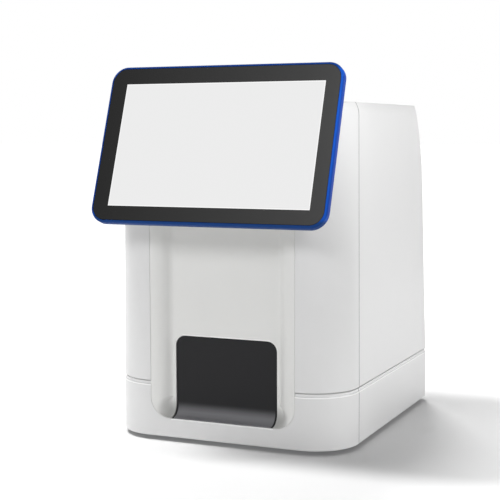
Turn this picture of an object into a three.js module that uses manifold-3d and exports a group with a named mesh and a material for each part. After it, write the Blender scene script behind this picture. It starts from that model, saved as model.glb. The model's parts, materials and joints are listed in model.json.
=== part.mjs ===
import * as THREE from 'three';
import { mergeVertices } from 'three/addons/utils/BufferGeometryUtils.js';
import Module from 'manifold-3d';

// A benchtop hematology morphology analyzer, in millimetres: X right, Y back, Z up.
// While it is put together, Y is zero on the front face and Z is zero on the bench.

// Fits shared by all pieces
const fit = 0.3;                    // between pieces that touch
const overrun = 20;                 // how far a cutter runs past what it cuts

// Body shell
const bodyWidth = 266;
const bodyDepth = 306;
const bodyHeight = 350;             // from the shell's lower edge to the roof
const benchGap = 5;                 // from the bench to the shell's lower edge
const shellWall = 3;
const frontCornerRadius = 51;
const rearCornerRadius = 9;
const roofEdgeRadius = 11;
const footDraft = 1.4;              // how far the foot band draws in at its lower edge
const sideTaper = 1.9;              // how far each side draws in at the roof
const footBandHeight = 54.4;
const grooveHeight = 3.8;
const grooveDepth = 1.8;
const backLean = 17.5;              // how far the back leans in below its bend
const backStraightHeight = 262;
const backBendRadius = 180;
const seamSetback = 51.2;           // the joint of the two covers behind the front face
const seamGap = 0.5;

// Recess panel in the front cover
const panelSideMargin = 0.1;        // from the panel to the rounded corners
const panelFoot = 19.6;             // from the shell's lower edge
const panelTopMargin = 16.8;        // below the foot of the slanted face
const panelCornerRadius = 21.5;
const panelWall = 3;
const recessDepth = 12;
const coveWidth = 19.7;
const scoopLip = 1;
const pocketMargin = 4;             // solid edge left around the pockets behind the coves

// Drawer
const drawerSideMargin = 3.5;       // from the drawer's side to the coves
const drawerTop = 106.5;            // from the shell's lower edge
const drawerCornerRadius = 10.5;
const drawerInset = 0.8;            // how far its face lies behind the recess face
const drawerGap = 0.5;
const drawerWall = 3;
const traySideMargin = 11.4;        // from the drawer front's side to the tray
const trayLength = 156;
const trayFloorHeight = 45;         // from the shell's lower edge
const trayWall = 2;
const trayDepth = 14;
const trayRearWallShare = 0.5;      // the rear wall's height as a share of the side walls'
const holderSideMargin = 6;         // from the tray's side wall
const holderLength = 92;
const holderHeight = 10;
const holderSetback = 42;           // from the tray's front wall
const wellWall = 7;
const wellFloor = 3;
const wellCornerRadius = 4;

// Telescopic runners, each an inner bar in a middle channel in an outer channel
const runnerLength = 156;
const runnerSetback = 4;            // behind the recess panel
const innerBarWidth = 7;
const innerBarHeight = 10.4;
const channelWeb = 1;
const runnerPlay = 0.35;
const lipReach = 4;                 // how far a channel's lips reach over the member inside
const bracketWall = 2;
const bracketFoot = 10;

// Rack drive
const gearModule = 1;
const pinionTeeth = 18;
const gearWidth = 5.4;
const backlash = 0.25;
const addendumShare = 1;            // shares of the gear module
const dedendumShare = 1.25;
const rackBack = 5;
const pinionOffset = 0;             // pinion axis from the middle plane
const rackFrontMargin = 22;         // from the tray's front wall to the rack
const rackRearMargin = 6;
const pinionSetback = 50;           // pinion axis behind the front face
const driveShaftRadius = 2.5;
const driveShaftDepth = 12;         // how far the shaft runs down into the motor
const motorWidth = 28;
const motorHeight = 30;
const motorCornerRadius = 4;

// Base
const basePlateLift = 3;            // above the shell's lower edge
const basePlateWall = 2;
const footRadius = 11;
const footNeckRadius = 8;
const footChamfer = 2.6;
const footSideMargin = 34;          // foot axis from the body's side
const footEndMargin = 38;           // foot axis from the body's front and back
const standoffRadius = 3;

// Display, with depths measured behind the glass face
const displayTilt = 19.6;           // degrees that its top leans back
const displayForward = 12.3;        // glass centre in front of the front face
const displayDrop = 41.6;           // glass centre below the roof
const displayStandOff = 21.5;       // from the glass face to the body's slanted face
const glassWidth = 253;
const glassHeight = 164.8;
const glassThickness = 1.8;
const glassCornerRadius = 17.5;
const rimWidth = 3.9;               // blue edge beyond the glass
const rimRound = 3.2;
const rimDepth = 8;
const rimLedge = 6;                 // ledge that the glass rests on
const lcdWidth = 232;
const lcdHeight = 142;
const lcdThickness = 5;
const displayBoardWidth = 110;
const displayBoardHeight = 70;
const boardThickness = 1.6;
const backPlateMargin = 6;          // back cover's edge inside the rim's edge
const backPlateWall = 2;
const bulgeWidth = 196;
const bulgeHeight = 116;
const bulgeDepth = 6;               // beyond the rim
const bulgeCornerRadius = 12;
const bulgeChamfer = 4;

// Display hinge
const pivotDepth = 37;
const pivotRise = 8;                // above the glass centre
const armWidth = 66;
const armThickness = 12;
const armFlangeWidth = 84;
const armFlangeHeight = 40;
const armFlangeWall = 3;
const neckOpeningWidth = 72;
const neckOpeningHeight = 25;
const bracketPlateWidth = 104;
const bracketPlateHeight = 46;
const bracketPlateWall = 2.5;
const earWall = 4;
const earRadius = 7;
const hingePinRadius = 2;

// Rear bay
const bayWidth = 164;
const bayLow = 19;                  // from the shell's lower edge
const bayHeight = 166;
const bayWall = 2.5;
const bayDepth = 20;                // outer face of the rear panel in from the body's back
const rearPanelWall = 1.5;
const bayLip = 8;
const bayLipWall = 2;
const screwHeadRadius = 2.8;
const screwHeadHeight = 1.6;
const screwShankRadius = 1.4;
const bayRowHeight = 47;            // inlet and switch centres above the shell's lower edge

// Fan
const fanSize = 60;
const fanDepth = 15;
const fanCornerRadius = 4;
const fanBore = 28;
const fanRise = 125;                // fan axis above the shell's lower edge
const fanHubRadius = 12;
const fanHubWall = 2;
const fanArmWidth = 4;
const fanShaftRadius = 1.5;
const fanBladeCount = 7;
const fanBladeWall = 1.6;
const fanBladeReach = 26.5;
const fanBladePitch = 35;           // degrees
const fanRotorDepth = 9;
const guardRings = 3;
const guardWire = 1.6;
const guardSpokeCount = 4;

// Power inlet, switch and ports
const inletOffset = 48;             // from the middle plane
const inletFlangeWidth = 36;
const inletFlangeHeight = 29;
const inletFlangeWall = 2.5;
const inletBodyWidth = 28;
const inletBodyHeight = 21;
const inletBodyDepth = 21;
const inletWall = 2;
const inletFloor = 3;
const inletPinWidth = 2;
const inletPinHeight = 4;
const inletPinLength = 11;
const inletPinSpacing = 7;
const inletPinDrop = 2;
const switchOffset = 12;
const switchFlangeWidth = 15;
const switchFlangeHeight = 21;
const switchFlangeWall = 1.6;
const switchBodyWidth = 13;
const switchBodyHeight = 19;
const switchBodyDepth = 14;
const switchWall = 1.5;
const rockerDepth = 6;
const rockerTilt = 10;              // degrees each way from level
const rockerProud = 2.2;
const portBlockWidth = 33.4;
const portBlockHeight = 16;
const portBlockDepth = 20;
const portProud = 0.6;
const portWidth = 12.4;
const portHeight = 5.2;
const portDepth = 12;
const portWall = 1.4;
const portPitch = 7.2;
const lanPortHeight = 10;

// Electronics
const computerBoardPumpGap = 25.5;  // from the syringe pump's back
const computerBoardSideMargin = 21; // from the body's left side
const computerBoardRearGap = 5;     // from the rear panel's inner face
const computerStandoff = 21.4;
const standoffInset = 5;
const driverBoardSideMargin = 17;   // from the body's right side
const driverBoardWidth = 44;
const driverBoardLength = 62;
const driverBoardSetback = 32;
const driverStandoff = 8;
const chipHeight = 2.5;
const chipSize = 15;
const connectorHeight = 9;
const connectorWidth = 7;
const supplySideMargin = 15;        // from the body's right side
const supplyWidth = 54;
const supplyLength = 88;
const supplyHeight = 38;
const supplySetback = 165;
const supplyWall = 1.2;
const supplyTerminalLength = 14;

// Optics
const columnWidth = 80;
const columnWall = 8;
const columnHeadroom = 59.7;        // from its top to the roof
const columnSetback = 205;          // its front face behind the front face
const columnFootLength = 32;
const columnFootWall = 5;
const gussetWall = 5;
const gussetHeight = 90;
const stageRise = 72;               // stage base's underside above the base plate
const stageWidth = 90;
const stageReach = 55;              // in front of the column
const stageWall = 6;
const stageBackHeight = 36;
const stageBackWall = 5;
const stageBore = 12;
const opticAxisSetback = 182;
const lampRadius = 10;
const lampFlangeRadius = 17;
const lampFlangeWall = 2;
const lampHeight = 12;
const lampLensRadius = 6;
const lampLensHeight = 3;
const slidePlateWidth = 66;
const slidePlateLength = 34;
const slidePlateWall = 5;
const slideWindowWidth = 22;
const slideWindowLength = 16;
const carriageWidth = 34;
const carriageDepth = 38;
const carriageRise = 132;           // its underside above the base plate
const carriageHeight = 44;
const lugWidth = 18;
const lugHeight = 14;
const objectiveRadius = 10;
const objectiveTipRadius = 4;
const objectiveLength = 33;
const objectiveTaper = 9;
const cameraWidth = 30;
const cameraHeight = 46;
const cameraDepth = 36;
const focusMotorWidth = 20;
const focusMotorHeight = 28;
const focusMotorDrop = 40.3;        // its underside below the column's top
const focusScrewRadius = 2.5;
const focusScrewLength = 112;

// Liquid handling
const gantrySetback = 118;
const gantryLength = 10;
const gantryClearance = 3.7;        // from its posts to the runner brackets
const gantryPostWidth = 8;
const gantryHeight = 180;           // above the base plate
const gantryBeamHeight = 42;
const headWidth = 32;
const headDepth = 20;
const headHeight = 62;
const headRise = 112;               // its underside above the base plate
const needleRadius = 1.2;
const needleHubRadius = 4;
const needleHubHeight = 8;
const needleLength = 36;
const pumpSideMargin = 15;          // from the body's left side
const pumpWidth = 44;
const pumpDepth = 40;
const pumpSetback = 118;
const pumpHeight = 160;
const clampReach = 16;
const clampWall = 6;
const clampDrop = 22;               // the clamp's top below the pump's top
const syringeOuterRadius = 7;
const syringeInnerRadius = 5.5;
const syringeLength = 62;
const syringeCap = 4;
const syringeNozzleRadius = 1.6;
const syringeNozzleLength = 8;
const plungerHeadHeight = 6;
const plungerRodRadius = 2.5;
const plungerRodLength = 66;
const plungerArmWidth = 16;
const plungerArmHeight = 8;
const plungerTop = 6;               // below the barrel's cap at rest
const pumpSlotWidth = 8;
const pumpSlotDepth = 6;

// Facets of round outlines
const cornerSteps = 10;
const smallSteps = 4;
const roundSides = 24;
const smallSides = 12;
const flankSteps = 3;
const rimFacets = 3;

const wasm = await Module();
wasm.setup();

const upright = THREE.MathUtils.degToRad(90);
const fullTurn = THREE.MathUtils.degToRad(360);
const tilt = THREE.MathUtils.degToRad(displayTilt);

// Heights and places that several pieces share
const shellFoot = benchGap;
const roof = benchGap + bodyHeight;
const grooveLow = shellFoot + footBandHeight;
const grooveHigh = grooveLow + grooveHeight;
const deckLow = shellFoot + basePlateLift;
const deck = deckLow + basePlateWall;
const onDeck = deck + fit;
const glassCentre = { y: -displayForward, z: roof - displayDrop };
const panelWidth = bodyWidth - 2 * (frontCornerRadius + panelSideMargin);
const panelLow = shellFoot + panelFoot;
const panelHigh = slantAtSetback(displayStandOff, 0) - panelTopMargin;
const panelBack = recessDepth + panelWall;
const drawerWidth = panelWidth - 2 * (fit + scoopLip + coveWidth + drawerSideMargin);
const trayWidth = drawerWidth - 2 * traySideMargin;
const bayFloor = shellFoot + bayLow;
const bayTop = bayFloor + bayHeight;
const bayRow = shellFoot + bayRowHeight;
const bayFace = bodyDepth - bayDepth;
const rearPanelInner = bayFace - rearPanelWall;
const fanAxis = { x: 0, z: shellFoot + fanRise };

// Solids from outlines. An outline lies in the plane across its axis: XY for z, YZ for x, XZ for y.
const turnTo = {
  z: new THREE.Matrix4(),
  x: new THREE.Matrix4().makeBasis(
    new THREE.Vector3(0, 1, 0), new THREE.Vector3(0, 0, 1), new THREE.Vector3(1, 0, 0)),
  y: new THREE.Matrix4().makeBasis(
    new THREE.Vector3(1, 0, 0), new THREE.Vector3(0, 0, 1), new THREE.Vector3(0, -1, 0)),
};

function toSolid(geometry) {
  geometry.deleteAttribute('normal');
  geometry.deleteAttribute('uv');
  const merged = mergeVertices(geometry);
  const corners = merged.index.array;
  const kept = [];
  for (let i = 0; i < corners.length; i += 3) {
    const [a, b, c] = corners.slice(i, i + 3);
    if (a !== b && b !== c && c !== a) kept.push(a, b, c);
  }
  return new wasm.Manifold(new wasm.Mesh({
    numProp: 3,
    vertProperties: new Float32Array(merged.attributes.position.array),
    triVerts: new Uint32Array(kept),
  }));
}

function toGeometry(solid) {
  const mesh = solid.getMesh();
  const geometry = new THREE.BufferGeometry();
  geometry.setAttribute('position', new THREE.BufferAttribute(new Float32Array(mesh.vertProperties), 3));
  geometry.setIndex(new THREE.BufferAttribute(new Uint32Array(mesh.triVerts), 1));
  geometry.computeVertexNormals();
  return geometry;
}

function prism(axis, outline, [low, high], place) {
  const shape = new THREE.Shape(outline);
  const geometry = new THREE.ExtrudeGeometry(shape, { depth: high - low, bevelEnabled: false });
  geometry.applyMatrix4(turnTo[axis]);
  if (axis === 'x') geometry.translate(low, 0, 0);
  if (axis === 'y') geometry.translate(0, high, 0);
  if (axis === 'z') geometry.translate(0, 0, low);
  if (place) geometry.applyMatrix4(place);
  return toSolid(geometry);
}

function box(xs, ys, zs, place) {
  const sizes = [xs, ys, zs].map(([low, high]) => high - low);
  const middles = [xs, ys, zs].map(([low, high]) => (low + high) / 2);
  const geometry = new THREE.BoxGeometry(...sizes);
  geometry.translate(...middles);
  if (place) geometry.applyMatrix4(place);
  return toSolid(geometry);
}

// A turned solid about an upright axis through x, y. Its profile is [radius, height] from the axis to the axis.
function turned(profile, x, y, sides = roundSides) {
  const geometry = new THREE.LatheGeometry(profile.map(([r, h]) => new THREE.Vector2(r, h)), sides);
  geometry.rotateX(upright);
  geometry.translate(x, y, 0);
  return toSolid(geometry);
}

// A solid through rings of points that run round the Y axis, closed by a flat face at each end
function loft(rings) {
  const count = rings[0].length;
  const corners = [];
  rings.slice(1).forEach((_, ring) => {
    for (let i = 0; i < count; i += 1) {
      const [a, b] = [ring * count + i, ring * count + (i + 1) % count];
      corners.push(a, b, b + count, a, b + count, a + count);
    }
  });
  const cap = (ring) => THREE.ShapeUtils.triangulateShape(ring.map((p) => new THREE.Vector2(p.x, p.z)), []);
  cap(rings[0]).forEach(([a, b, c]) => corners.push(c, b, a));
  const last = (rings.length - 1) * count;
  cap(rings.at(-1)).forEach(([a, b, c]) => corners.push(last + a, last + b, last + c));
  const geometry = new THREE.BufferGeometry().setFromPoints(rings.flat());
  geometry.setIndex(corners.reverse());
  return toSolid(geometry);
}

// Outlines
function arc(x, y, radius, from, to, steps = cornerSteps) {
  return Array.from({ length: steps + 1 }, (_, i) => {
    const angle = from + (to - from) * i / steps;
    return new THREE.Vector2(x + radius * Math.cos(angle), y + radius * Math.sin(angle));
  });
}

function circle(x, y, radius, sides = roundSides) {
  return arc(x, y, radius, 0, fullTurn, sides).slice(0, sides);
}

function points(...pairs) {
  return pairs.map(([x, y]) => new THREE.Vector2(x, y));
}

function rounded([x0, x1], [y0, y1], radius, steps = smallSteps) {
  return [
    ...arc(x1 - radius, y0 + radius, radius, -upright, 0, steps),
    ...arc(x1 - radius, y1 - radius, radius, 0, upright, steps),
    ...arc(x0 + radius, y1 - radius, radius, upright, 2 * upright, steps),
    ...arc(x0 + radius, y0 + radius, radius, 2 * upright, 3 * upright, steps),
  ];
}

function about(middle, size) {
  return [middle - size / 2, middle + size / 2];
}

function across(size) {
  return about(0, size);
}

function from(start, length) {
  return [start, start + length];
}

function joined(solids) {
  return solids.reduce((whole, next) => whole.add(next));
}

// The display's own frame: X right, Y behind the glass face, Z up along the glass
const displayPlace = new THREE.Matrix4()
  .makeTranslation(0, glassCentre.y, glassCentre.z)
  .multiply(new THREE.Matrix4().makeRotationX(-tilt));

// The plane that runs parallel to the glass at a depth behind it
function slantAtHeight(depth, z) {
  const up = (z - glassCentre.z + depth * Math.sin(tilt)) / Math.cos(tilt);
  return glassCentre.y + up * Math.sin(tilt) + depth * Math.cos(tilt);
}

function slantAtSetback(depth, y) {
  const up = (y - glassCentre.y - depth * Math.cos(tilt)) / Math.sin(tilt);
  return glassCentre.z + up * Math.cos(tilt) - depth * Math.sin(tilt);
}

// The body's outer form, or the form at an inset inside it, down to a given height
function bodyForm(inset, low = shellFoot) {
  const half = bodyWidth / 2;
  const top = roof - inset;
  const front = half - frontCornerRadius;
  const rear = half - rearCornerRadius;
  const rearLine = bodyDepth - rearCornerRadius;
  const plan = [
    ...arc(front, frontCornerRadius, frontCornerRadius - inset, -upright, 0),
    ...arc(rear, rearLine, rearCornerRadius - inset, 0, upright, smallSteps),
    ...arc(-rear, rearLine, rearCornerRadius - inset, upright, 2 * upright, smallSteps),
    ...arc(-front, frontCornerRadius, frontCornerRadius - inset, 2 * upright, 3 * upright),
  ];
  const straightTop = shellFoot + backStraightHeight;
  const lean = Math.atan2(backLean, straightTop - grooveHigh);
  const bendY = bodyDepth - backLean - backBendRadius * Math.cos(lean);
  const bendZ = straightTop - backBendRadius * Math.sin(lean);
  const bend = backBendRadius - inset;
  const side = [
    new THREE.Vector2(footDraft + inset, low),
    new THREE.Vector2(bodyDepth - footDraft - inset, low),
    new THREE.Vector2(bodyDepth - inset, grooveHigh),
    ...arc(bendY, bendZ, bend, lean, Math.asin((top - bendZ) / bend)),
    new THREE.Vector2(slantAtHeight(displayStandOff + inset, top), top),
    new THREE.Vector2(inset, slantAtSetback(displayStandOff + inset, inset)),
    new THREE.Vector2(inset, grooveHigh),
  ];
  const roofHalf = half - sideTaper - roofEdgeRadius;
  const roofRound = roof - roofEdgeRadius;
  const face = [
    new THREE.Vector2(footDraft + inset - half, low),
    new THREE.Vector2(half - footDraft - inset, low),
    new THREE.Vector2(half - inset, grooveHigh),
    ...arc(roofHalf, roofRound, roofEdgeRadius - inset, 0, upright, smallSteps),
    ...arc(-roofHalf, roofRound, roofEdgeRadius - inset, upright, 2 * upright, smallSteps),
    new THREE.Vector2(inset - half, grooveHigh),
  ];
  return prism('z', plan, [low, roof])
    .intersect(prism('x', side, across(bodyWidth)))
    .intersect(prism('y', face, [0, bodyDepth]));
}

function hollowBody() {
  const groove = box(across(bodyWidth + overrun), [-overrun, bodyDepth + overrun], [grooveLow, grooveHigh])
    .subtract(bodyForm(grooveDepth));
  return bodyForm(0).subtract(bodyForm(shellWall, -overrun)).subtract(groove);
}

function frontCover(hollow) {
  const share = box(across(bodyWidth + overrun), [-overrun, seamSetback - seamGap / 2], [0, roof + overrun]);
  const window = prism('y', panelOutline(0), [-overrun, shellWall + overrun]);
  const neck = box(across(neckOpeningWidth), [0, displayStandOff + shellWall + overrun],
    about(pivotRise, neckOpeningHeight), displayPlace);
  return hollow.intersect(share).subtract(window).subtract(neck);
}

function rearCover(hollow) {
  const share = box(across(bodyWidth + overrun), [seamSetback + seamGap / 2, bodyDepth + overrun],
    [0, roof + overrun]);
  const innerWidth = bayWidth - 2 * bayLip;
  const lipFront = rearPanelInner - fit - bayLipWall;
  const bayBlock = box(across(bayWidth + 2 * bayWall), [lipFront, bodyDepth],
    [bayFloor - bayWall, bayTop + bayWall]).intersect(bodyForm(0));
  const bay = box(across(bayWidth), [rearPanelInner - fit, bodyDepth + overrun], [bayFloor, bayTop]);
  const lipWindow = box(across(innerWidth), [lipFront - overrun, bodyDepth],
    [bayFloor + bayLip, bayTop - bayLip]);
  const shell = hollow.intersect(share).add(bayBlock).subtract(bay).subtract(lipWindow);
  return shell.subtract(joined(screwPlaces().map(([x, z]) =>
    prism('y', circle(x, z, screwShankRadius + fit, smallSides), [lipFront - overrun, bayFace]))));
}

// Recess panel
function panelOutline(inset) {
  return rounded(across(panelWidth - 2 * inset), [panelLow + inset, panelHigh - inset],
    panelCornerRadius - inset, cornerSteps);
}

// One step of the recess's edge: how far inside the outline it lies, and how deep. Along the sides and the top
// the edge is a cove of two arcs. Along the foot it is a quarter round, and the lower corners pass from one to
// the other.
function recessEdge(share, footShare) {
  const swing = 2 * Math.atan2(recessDepth, coveWidth);
  const radius = coveWidth / (2 * Math.sin(swing));
  const angle = swing * (share < 1 / 2 ? 2 * share : 2 - 2 * share);
  const convex = [radius * Math.sin(angle), radius * (1 - Math.cos(angle))];
  const cove = share < 1 / 2 ? convex : [coveWidth - convex[0], recessDepth - convex[1]];
  const scoop = [recessDepth * (1 - Math.cos(upright * share)), recessDepth * Math.sin(upright * share)];
  return cove.map((size, i) => size + (scoop[i] - size) * footShare);
}

function recessSpace() {
  const inset = fit + scoopLip;
  const radius = panelCornerRadius - inset;
  const xs = across(panelWidth - 2 * inset);
  const zs = [panelLow + inset, panelHigh - inset];
  const edge = rounded(xs, zs, radius, smallSteps + 1);
  const ring = (share, y) => edge.map((p) => {
    const cornerX = THREE.MathUtils.clamp(p.x, xs[0] + radius, xs[1] - radius);
    const cornerZ = THREE.MathUtils.clamp(p.y, zs[0] + radius, zs[1] - radius);
    const outward = new THREE.Vector2(p.x - cornerX, p.y - cornerZ).divideScalar(radius);
    const [inside, depth] = recessEdge(share, outward.y < 0 ? outward.y ** 2 : 0);
    return new THREE.Vector3(p.x - inside * outward.x, y ?? depth, p.y - inside * outward.y);
  });
  const shares = Array.from({ length: 2 * smallSteps + 1 }, (_, i) => i / (2 * smallSteps));
  return loft([ring(0, -overrun), ...shares.map((share) => ring(share))]);
}

function drawerOutline(gap) {
  const half = drawerWidth / 2 + gap;
  const top = shellFoot + drawerTop + gap;
  const radius = drawerCornerRadius + gap;
  const low = panelLow + fit;
  return [
    ...points([-half, low - (gap ? overrun : 0)], [half, low - (gap ? overrun : 0)]),
    ...arc(half - radius, top - radius, radius, 0, upright, smallSteps),
    ...arc(radius - half, top - radius, radius, upright, 2 * upright, smallSteps),
  ];
}

function recessPanel() {
  const inner = panelWidth / 2 - coveWidth - scoopLip;
  const outer = panelWidth / 2 - pocketMargin;
  const pockets = [1, -1].map((s) => prism('z',
    points([s * (inner + pocketMargin), panelBack + fit], [s * outer, panelBack + fit],
      [s * outer, pocketMargin]),
    [panelLow + panelCornerRadius, panelHigh - panelCornerRadius]));
  return prism('y', panelOutline(fit), [0, panelBack])
    .intersect(bodyForm(0))
    .subtract(recessSpace())
    .subtract(prism('y', drawerOutline(drawerGap), [-overrun, panelBack + overrun]))
    .subtract(joined(pockets));
}

// Drawer front: a flat plate whose foot sweeps forward in a quarter round and thins to the panel's lip
function drawerFront() {
  const face = recessDepth + drawerInset;
  const back = face + drawerWall;
  const low = panelLow + fit;
  const centre = low + scoopLip + recessDepth;
  const outerCurve = arc(drawerInset, centre, recessDepth, -upright, 0, cornerSteps);
  const innerCurve = arc(0, 0, 1, 0, -upright, cornerSteps).map((p) => new THREE.Vector2(
    drawerInset + p.x * (recessDepth + drawerWall), centre + p.y * (recessDepth + scoopLip)));
  const top = shellFoot + drawerTop;
  const side = [...outerCurve, ...points([face, top], [back, top]), ...innerCurve];
  return prism('x', side, across(drawerWidth)).intersect(prism('y', drawerOutline(0), [0, back]));
}

const trayFront = panelBack + drawerInset + fit;
const trayFloor = shellFoot + trayFloorHeight;

function drawerTray() {
  const inner = trayWidth - 2 * trayWall;
  const ys = from(trayFront, trayLength);
  const rearWall = trayDepth * trayRearWallShare;
  const well = box(across(inner), [ys[0] + trayWall, ys[1] - trayWall],
    [trayFloor + trayWall, trayFloor + trayDepth + overrun]);
  const dip = box(across(inner), [ys[1] - trayWall - fit, ys[1] + overrun],
    [trayFloor + rearWall, trayFloor + trayDepth + overrun]);
  return box(across(trayWidth), ys, from(trayFloor, trayDepth)).subtract(well).subtract(dip);
}

function cartridgeHolder() {
  const low = trayFloor + trayWall + fit;
  const holderWidth = trayWidth - 2 * (trayWall + holderSideMargin);
  const ys = from(trayFront + trayWall + holderSetback, holderLength);
  const wellXs = across(holderWidth - 2 * wellWall);
  const wellYs = [ys[0] + wellWall, ys[1] - wellWall];
  return box(across(holderWidth), ys, from(low, holderHeight))
    .subtract(prism('z', rounded(wellXs, wellYs, wellCornerRadius),
      [low + wellFloor, low + holderHeight + overrun]));
}

// Runners: x is measured from the tray's side outward, z from the runner's middle height
const runnerMiddle = trayFloor + trayDepth / 2;
const runnerYs = from(panelBack + runnerSetback, runnerLength);
const innerBarX = from(trayWidth / 2 + fit, innerBarWidth);
const middleReach = innerBarX[1] + runnerPlay + channelWeb;
const outerReach = middleReach + runnerPlay + channelWeb;

function channel(reach, halfInside) {
  const lipX = reach - channelWeb - lipReach;
  const half = halfInside + channelWeb;
  return points(
    [lipX, -half], [reach, -half], [reach, half], [lipX, half],
    [lipX, halfInside], [reach - channelWeb, halfInside],
    [reach - channelWeb, -halfInside], [lipX, -halfInside]);
}

function runnerPiece(outline, side) {
  return prism('y', outline.map((p) => new THREE.Vector2(side * p.x, p.y + runnerMiddle)), runnerYs);
}

function innerBar(side) {
  const half = innerBarHeight / 2;
  return runnerPiece(points([innerBarX[0], -half], [innerBarX[1], -half], [innerBarX[1], half],
    [innerBarX[0], half]), side);
}

function middleChannel(side) {
  return runnerPiece(channel(middleReach, innerBarHeight / 2 + runnerPlay), side);
}

function outerChannel(side) {
  return runnerPiece(channel(outerReach, innerBarHeight / 2 + 2 * runnerPlay + channelWeb), side);
}

function runnerBracket(side) {
  const near = outerReach + fit;
  const far = near + bracketWall;
  const top = trayDepth / 2;
  const foot = onDeck - runnerMiddle;
  return runnerPiece(points([far - bracketFoot, foot], [far, foot], [far, top], [near, top],
    [near, foot + bracketWall], [far - bracketFoot, foot + bracketWall]), side);
}

// Rack drive: the rack hangs under the tray and the pinion turns on an upright shaft
const pitchRadius = gearModule * pinionTeeth / 2;
const pinionAxis = { x: pinionOffset, y: pinionSetback };
const rackPitchLine = pinionAxis.x - pitchRadius;
const gearZs = [trayFloor - fit - gearWidth, trayFloor - fit];
const pressureAngle = THREE.MathUtils.degToRad(20);

function rack() {
  const pitch = Math.PI * gearModule;
  const root = rackPitchLine - gearModule * dedendumShare;
  const tip = rackPitchLine + gearModule * addendumShare;
  const back = root - rackBack;
  const halfAtRoot = pitch / 4 - backlash / 2 + gearModule * dedendumShare * Math.tan(pressureAngle);
  const halfAtTip = pitch / 4 - backlash / 2 - gearModule * addendumShare * Math.tan(pressureAngle);
  const start = trayFront + rackFrontMargin;
  const end = trayFront + trayLength - rackRearMargin;
  const first = Math.ceil((start - pinionAxis.y) / pitch) + 1 / 2;
  const outline = points([back, end], [back, start], [root, start]);
  for (let n = first; pinionAxis.y + (n + 1) * pitch < end; n += 1) {
    const y = pinionAxis.y + n * pitch;
    outline.push(...points(
      [root, y - halfAtRoot], [tip, y - halfAtTip], [tip, y + halfAtTip], [root, y + halfAtRoot]));
  }
  outline.push(...points([root, end]));
  return prism('z', outline, gearZs);
}

function involute(angle) {
  return Math.tan(angle) - angle;
}

function pinion() {
  const base = pitchRadius * Math.cos(pressureAngle);
  const outer = pitchRadius + gearModule * addendumShare;
  const root = pitchRadius - gearModule * dedendumShare;
  const halfAtPitch = (Math.PI * gearModule / 2 - backlash) / (2 * pitchRadius);
  const flank = Array.from({ length: flankSteps + 1 }, (_, i) => {
    const radius = base + (outer - base) * i / flankSteps;
    return [radius, halfAtPitch + involute(pressureAngle) - involute(Math.acos(base / radius))];
  });
  flank.unshift([root, flank[0][1]]);
  const outline = [];
  for (let tooth = 0; tooth < pinionTeeth; tooth += 1) {
    const middle = fullTurn * tooth / pinionTeeth;
    const sides = [...flank.map(([r, a]) => [r, -a]), ...flank.map(([r, a]) => [r, a]).reverse()];
    for (const [radius, angle] of sides) {
      outline.push(new THREE.Vector2(
        pinionAxis.x + radius * Math.cos(middle + angle), pinionAxis.y + radius * Math.sin(middle + angle)));
    }
  }
  const motorTop = onDeck + motorHeight;
  const shaft = prism('z', circle(pinionAxis.x, pinionAxis.y, driveShaftRadius, smallSides),
    [motorTop - driveShaftDepth, gearZs[1]]);
  return prism('z', outline, gearZs).add(shaft);
}

function drawerMotor() {
  const zs = from(onDeck, motorHeight);
  const bore = prism('z', circle(pinionAxis.x, pinionAxis.y, driveShaftRadius + fit, roundSides),
    [zs[1] - driveShaftDepth - fit, zs[1] + overrun]);
  const outline = rounded(about(pinionAxis.x, motorWidth), about(pinionAxis.y, motorWidth), motorCornerRadius);
  return prism('z', outline, zs).subtract(bore);
}

// Base plate with the posts that carry the two boards
const computerBoardXs = [computerBoardSideMargin - bodyWidth / 2, -columnWidth / 2 - fit];
const computerBoardYs = [pumpSetback + pumpDepth + computerBoardPumpGap,
  rearPanelInner - computerBoardRearGap];
const driverBoardXs = from(bodyWidth / 2 - driverBoardSideMargin - driverBoardWidth, driverBoardWidth);
const driverBoardYs = from(driverBoardSetback, driverBoardLength);

function posts(xs, ys, height) {
  const places = [xs[0] + standoffInset, xs[1] - standoffInset].flatMap((x) =>
    [ys[0] + standoffInset, ys[1] - standoffInset].map((y) => [x, y]));
  return joined(places.map(([x, y]) =>
    prism('z', circle(x, y, standoffRadius, smallSides), [deckLow, deck + height])));
}

function basePlate() {
  return bodyForm(shellWall + fit)
    .intersect(box(across(bodyWidth), [0, bodyDepth], [deckLow, deck]))
    .add(posts(computerBoardXs, computerBoardYs, computerStandoff))
    .add(posts(driverBoardXs, driverBoardYs, driverStandoff));
}

function foot(x, y) {
  const top = deckLow - fit;
  return turned([[0, 0], [footNeckRadius, 0], [footRadius, footChamfer], [footRadius, top], [0, top]], x, y);
}

function board(xs, ys, low, chips) {
  const top = low + boardThickness;
  const pieces = chips.map(([cx, cy, wide, long, high]) =>
    box(about(cx, wide), about(cy, long), [low, top + high]));
  return joined([box(xs, ys, [low, top]), ...pieces]);
}

function computerBoard() {
  const [x0, x1] = computerBoardXs;
  const [y0, y1] = computerBoardYs;
  const x = (x0 + x1) / 2;
  const y = (y0 + y1) / 2;
  return board(computerBoardXs, computerBoardYs, deck + computerStandoff + fit, [
    [x, y, 2 * chipSize, 2 * chipSize, connectorHeight],
    [x0 + chipSize, y0 + 2 * chipSize, chipSize, chipSize, chipHeight],
    [x1 - chipSize, y0 + chipSize, chipSize, connectorWidth, connectorHeight],
  ]);
}

function driverBoard() {
  const [x0, x1] = driverBoardXs;
  const [y0, y1] = driverBoardYs;
  return board(driverBoardXs, driverBoardYs, deck + driverStandoff + fit, [
    [(x0 + x1) / 2, (y0 + y1) / 2, chipSize, chipSize, chipHeight],
    [(x0 + x1) / 2, y0 + chipSize / 2, chipSize, connectorWidth, connectorHeight],
    [(x0 + x1) / 2, y1 - chipSize / 2, 2 * chipSize, connectorWidth, connectorHeight],
  ]);
}

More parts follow.
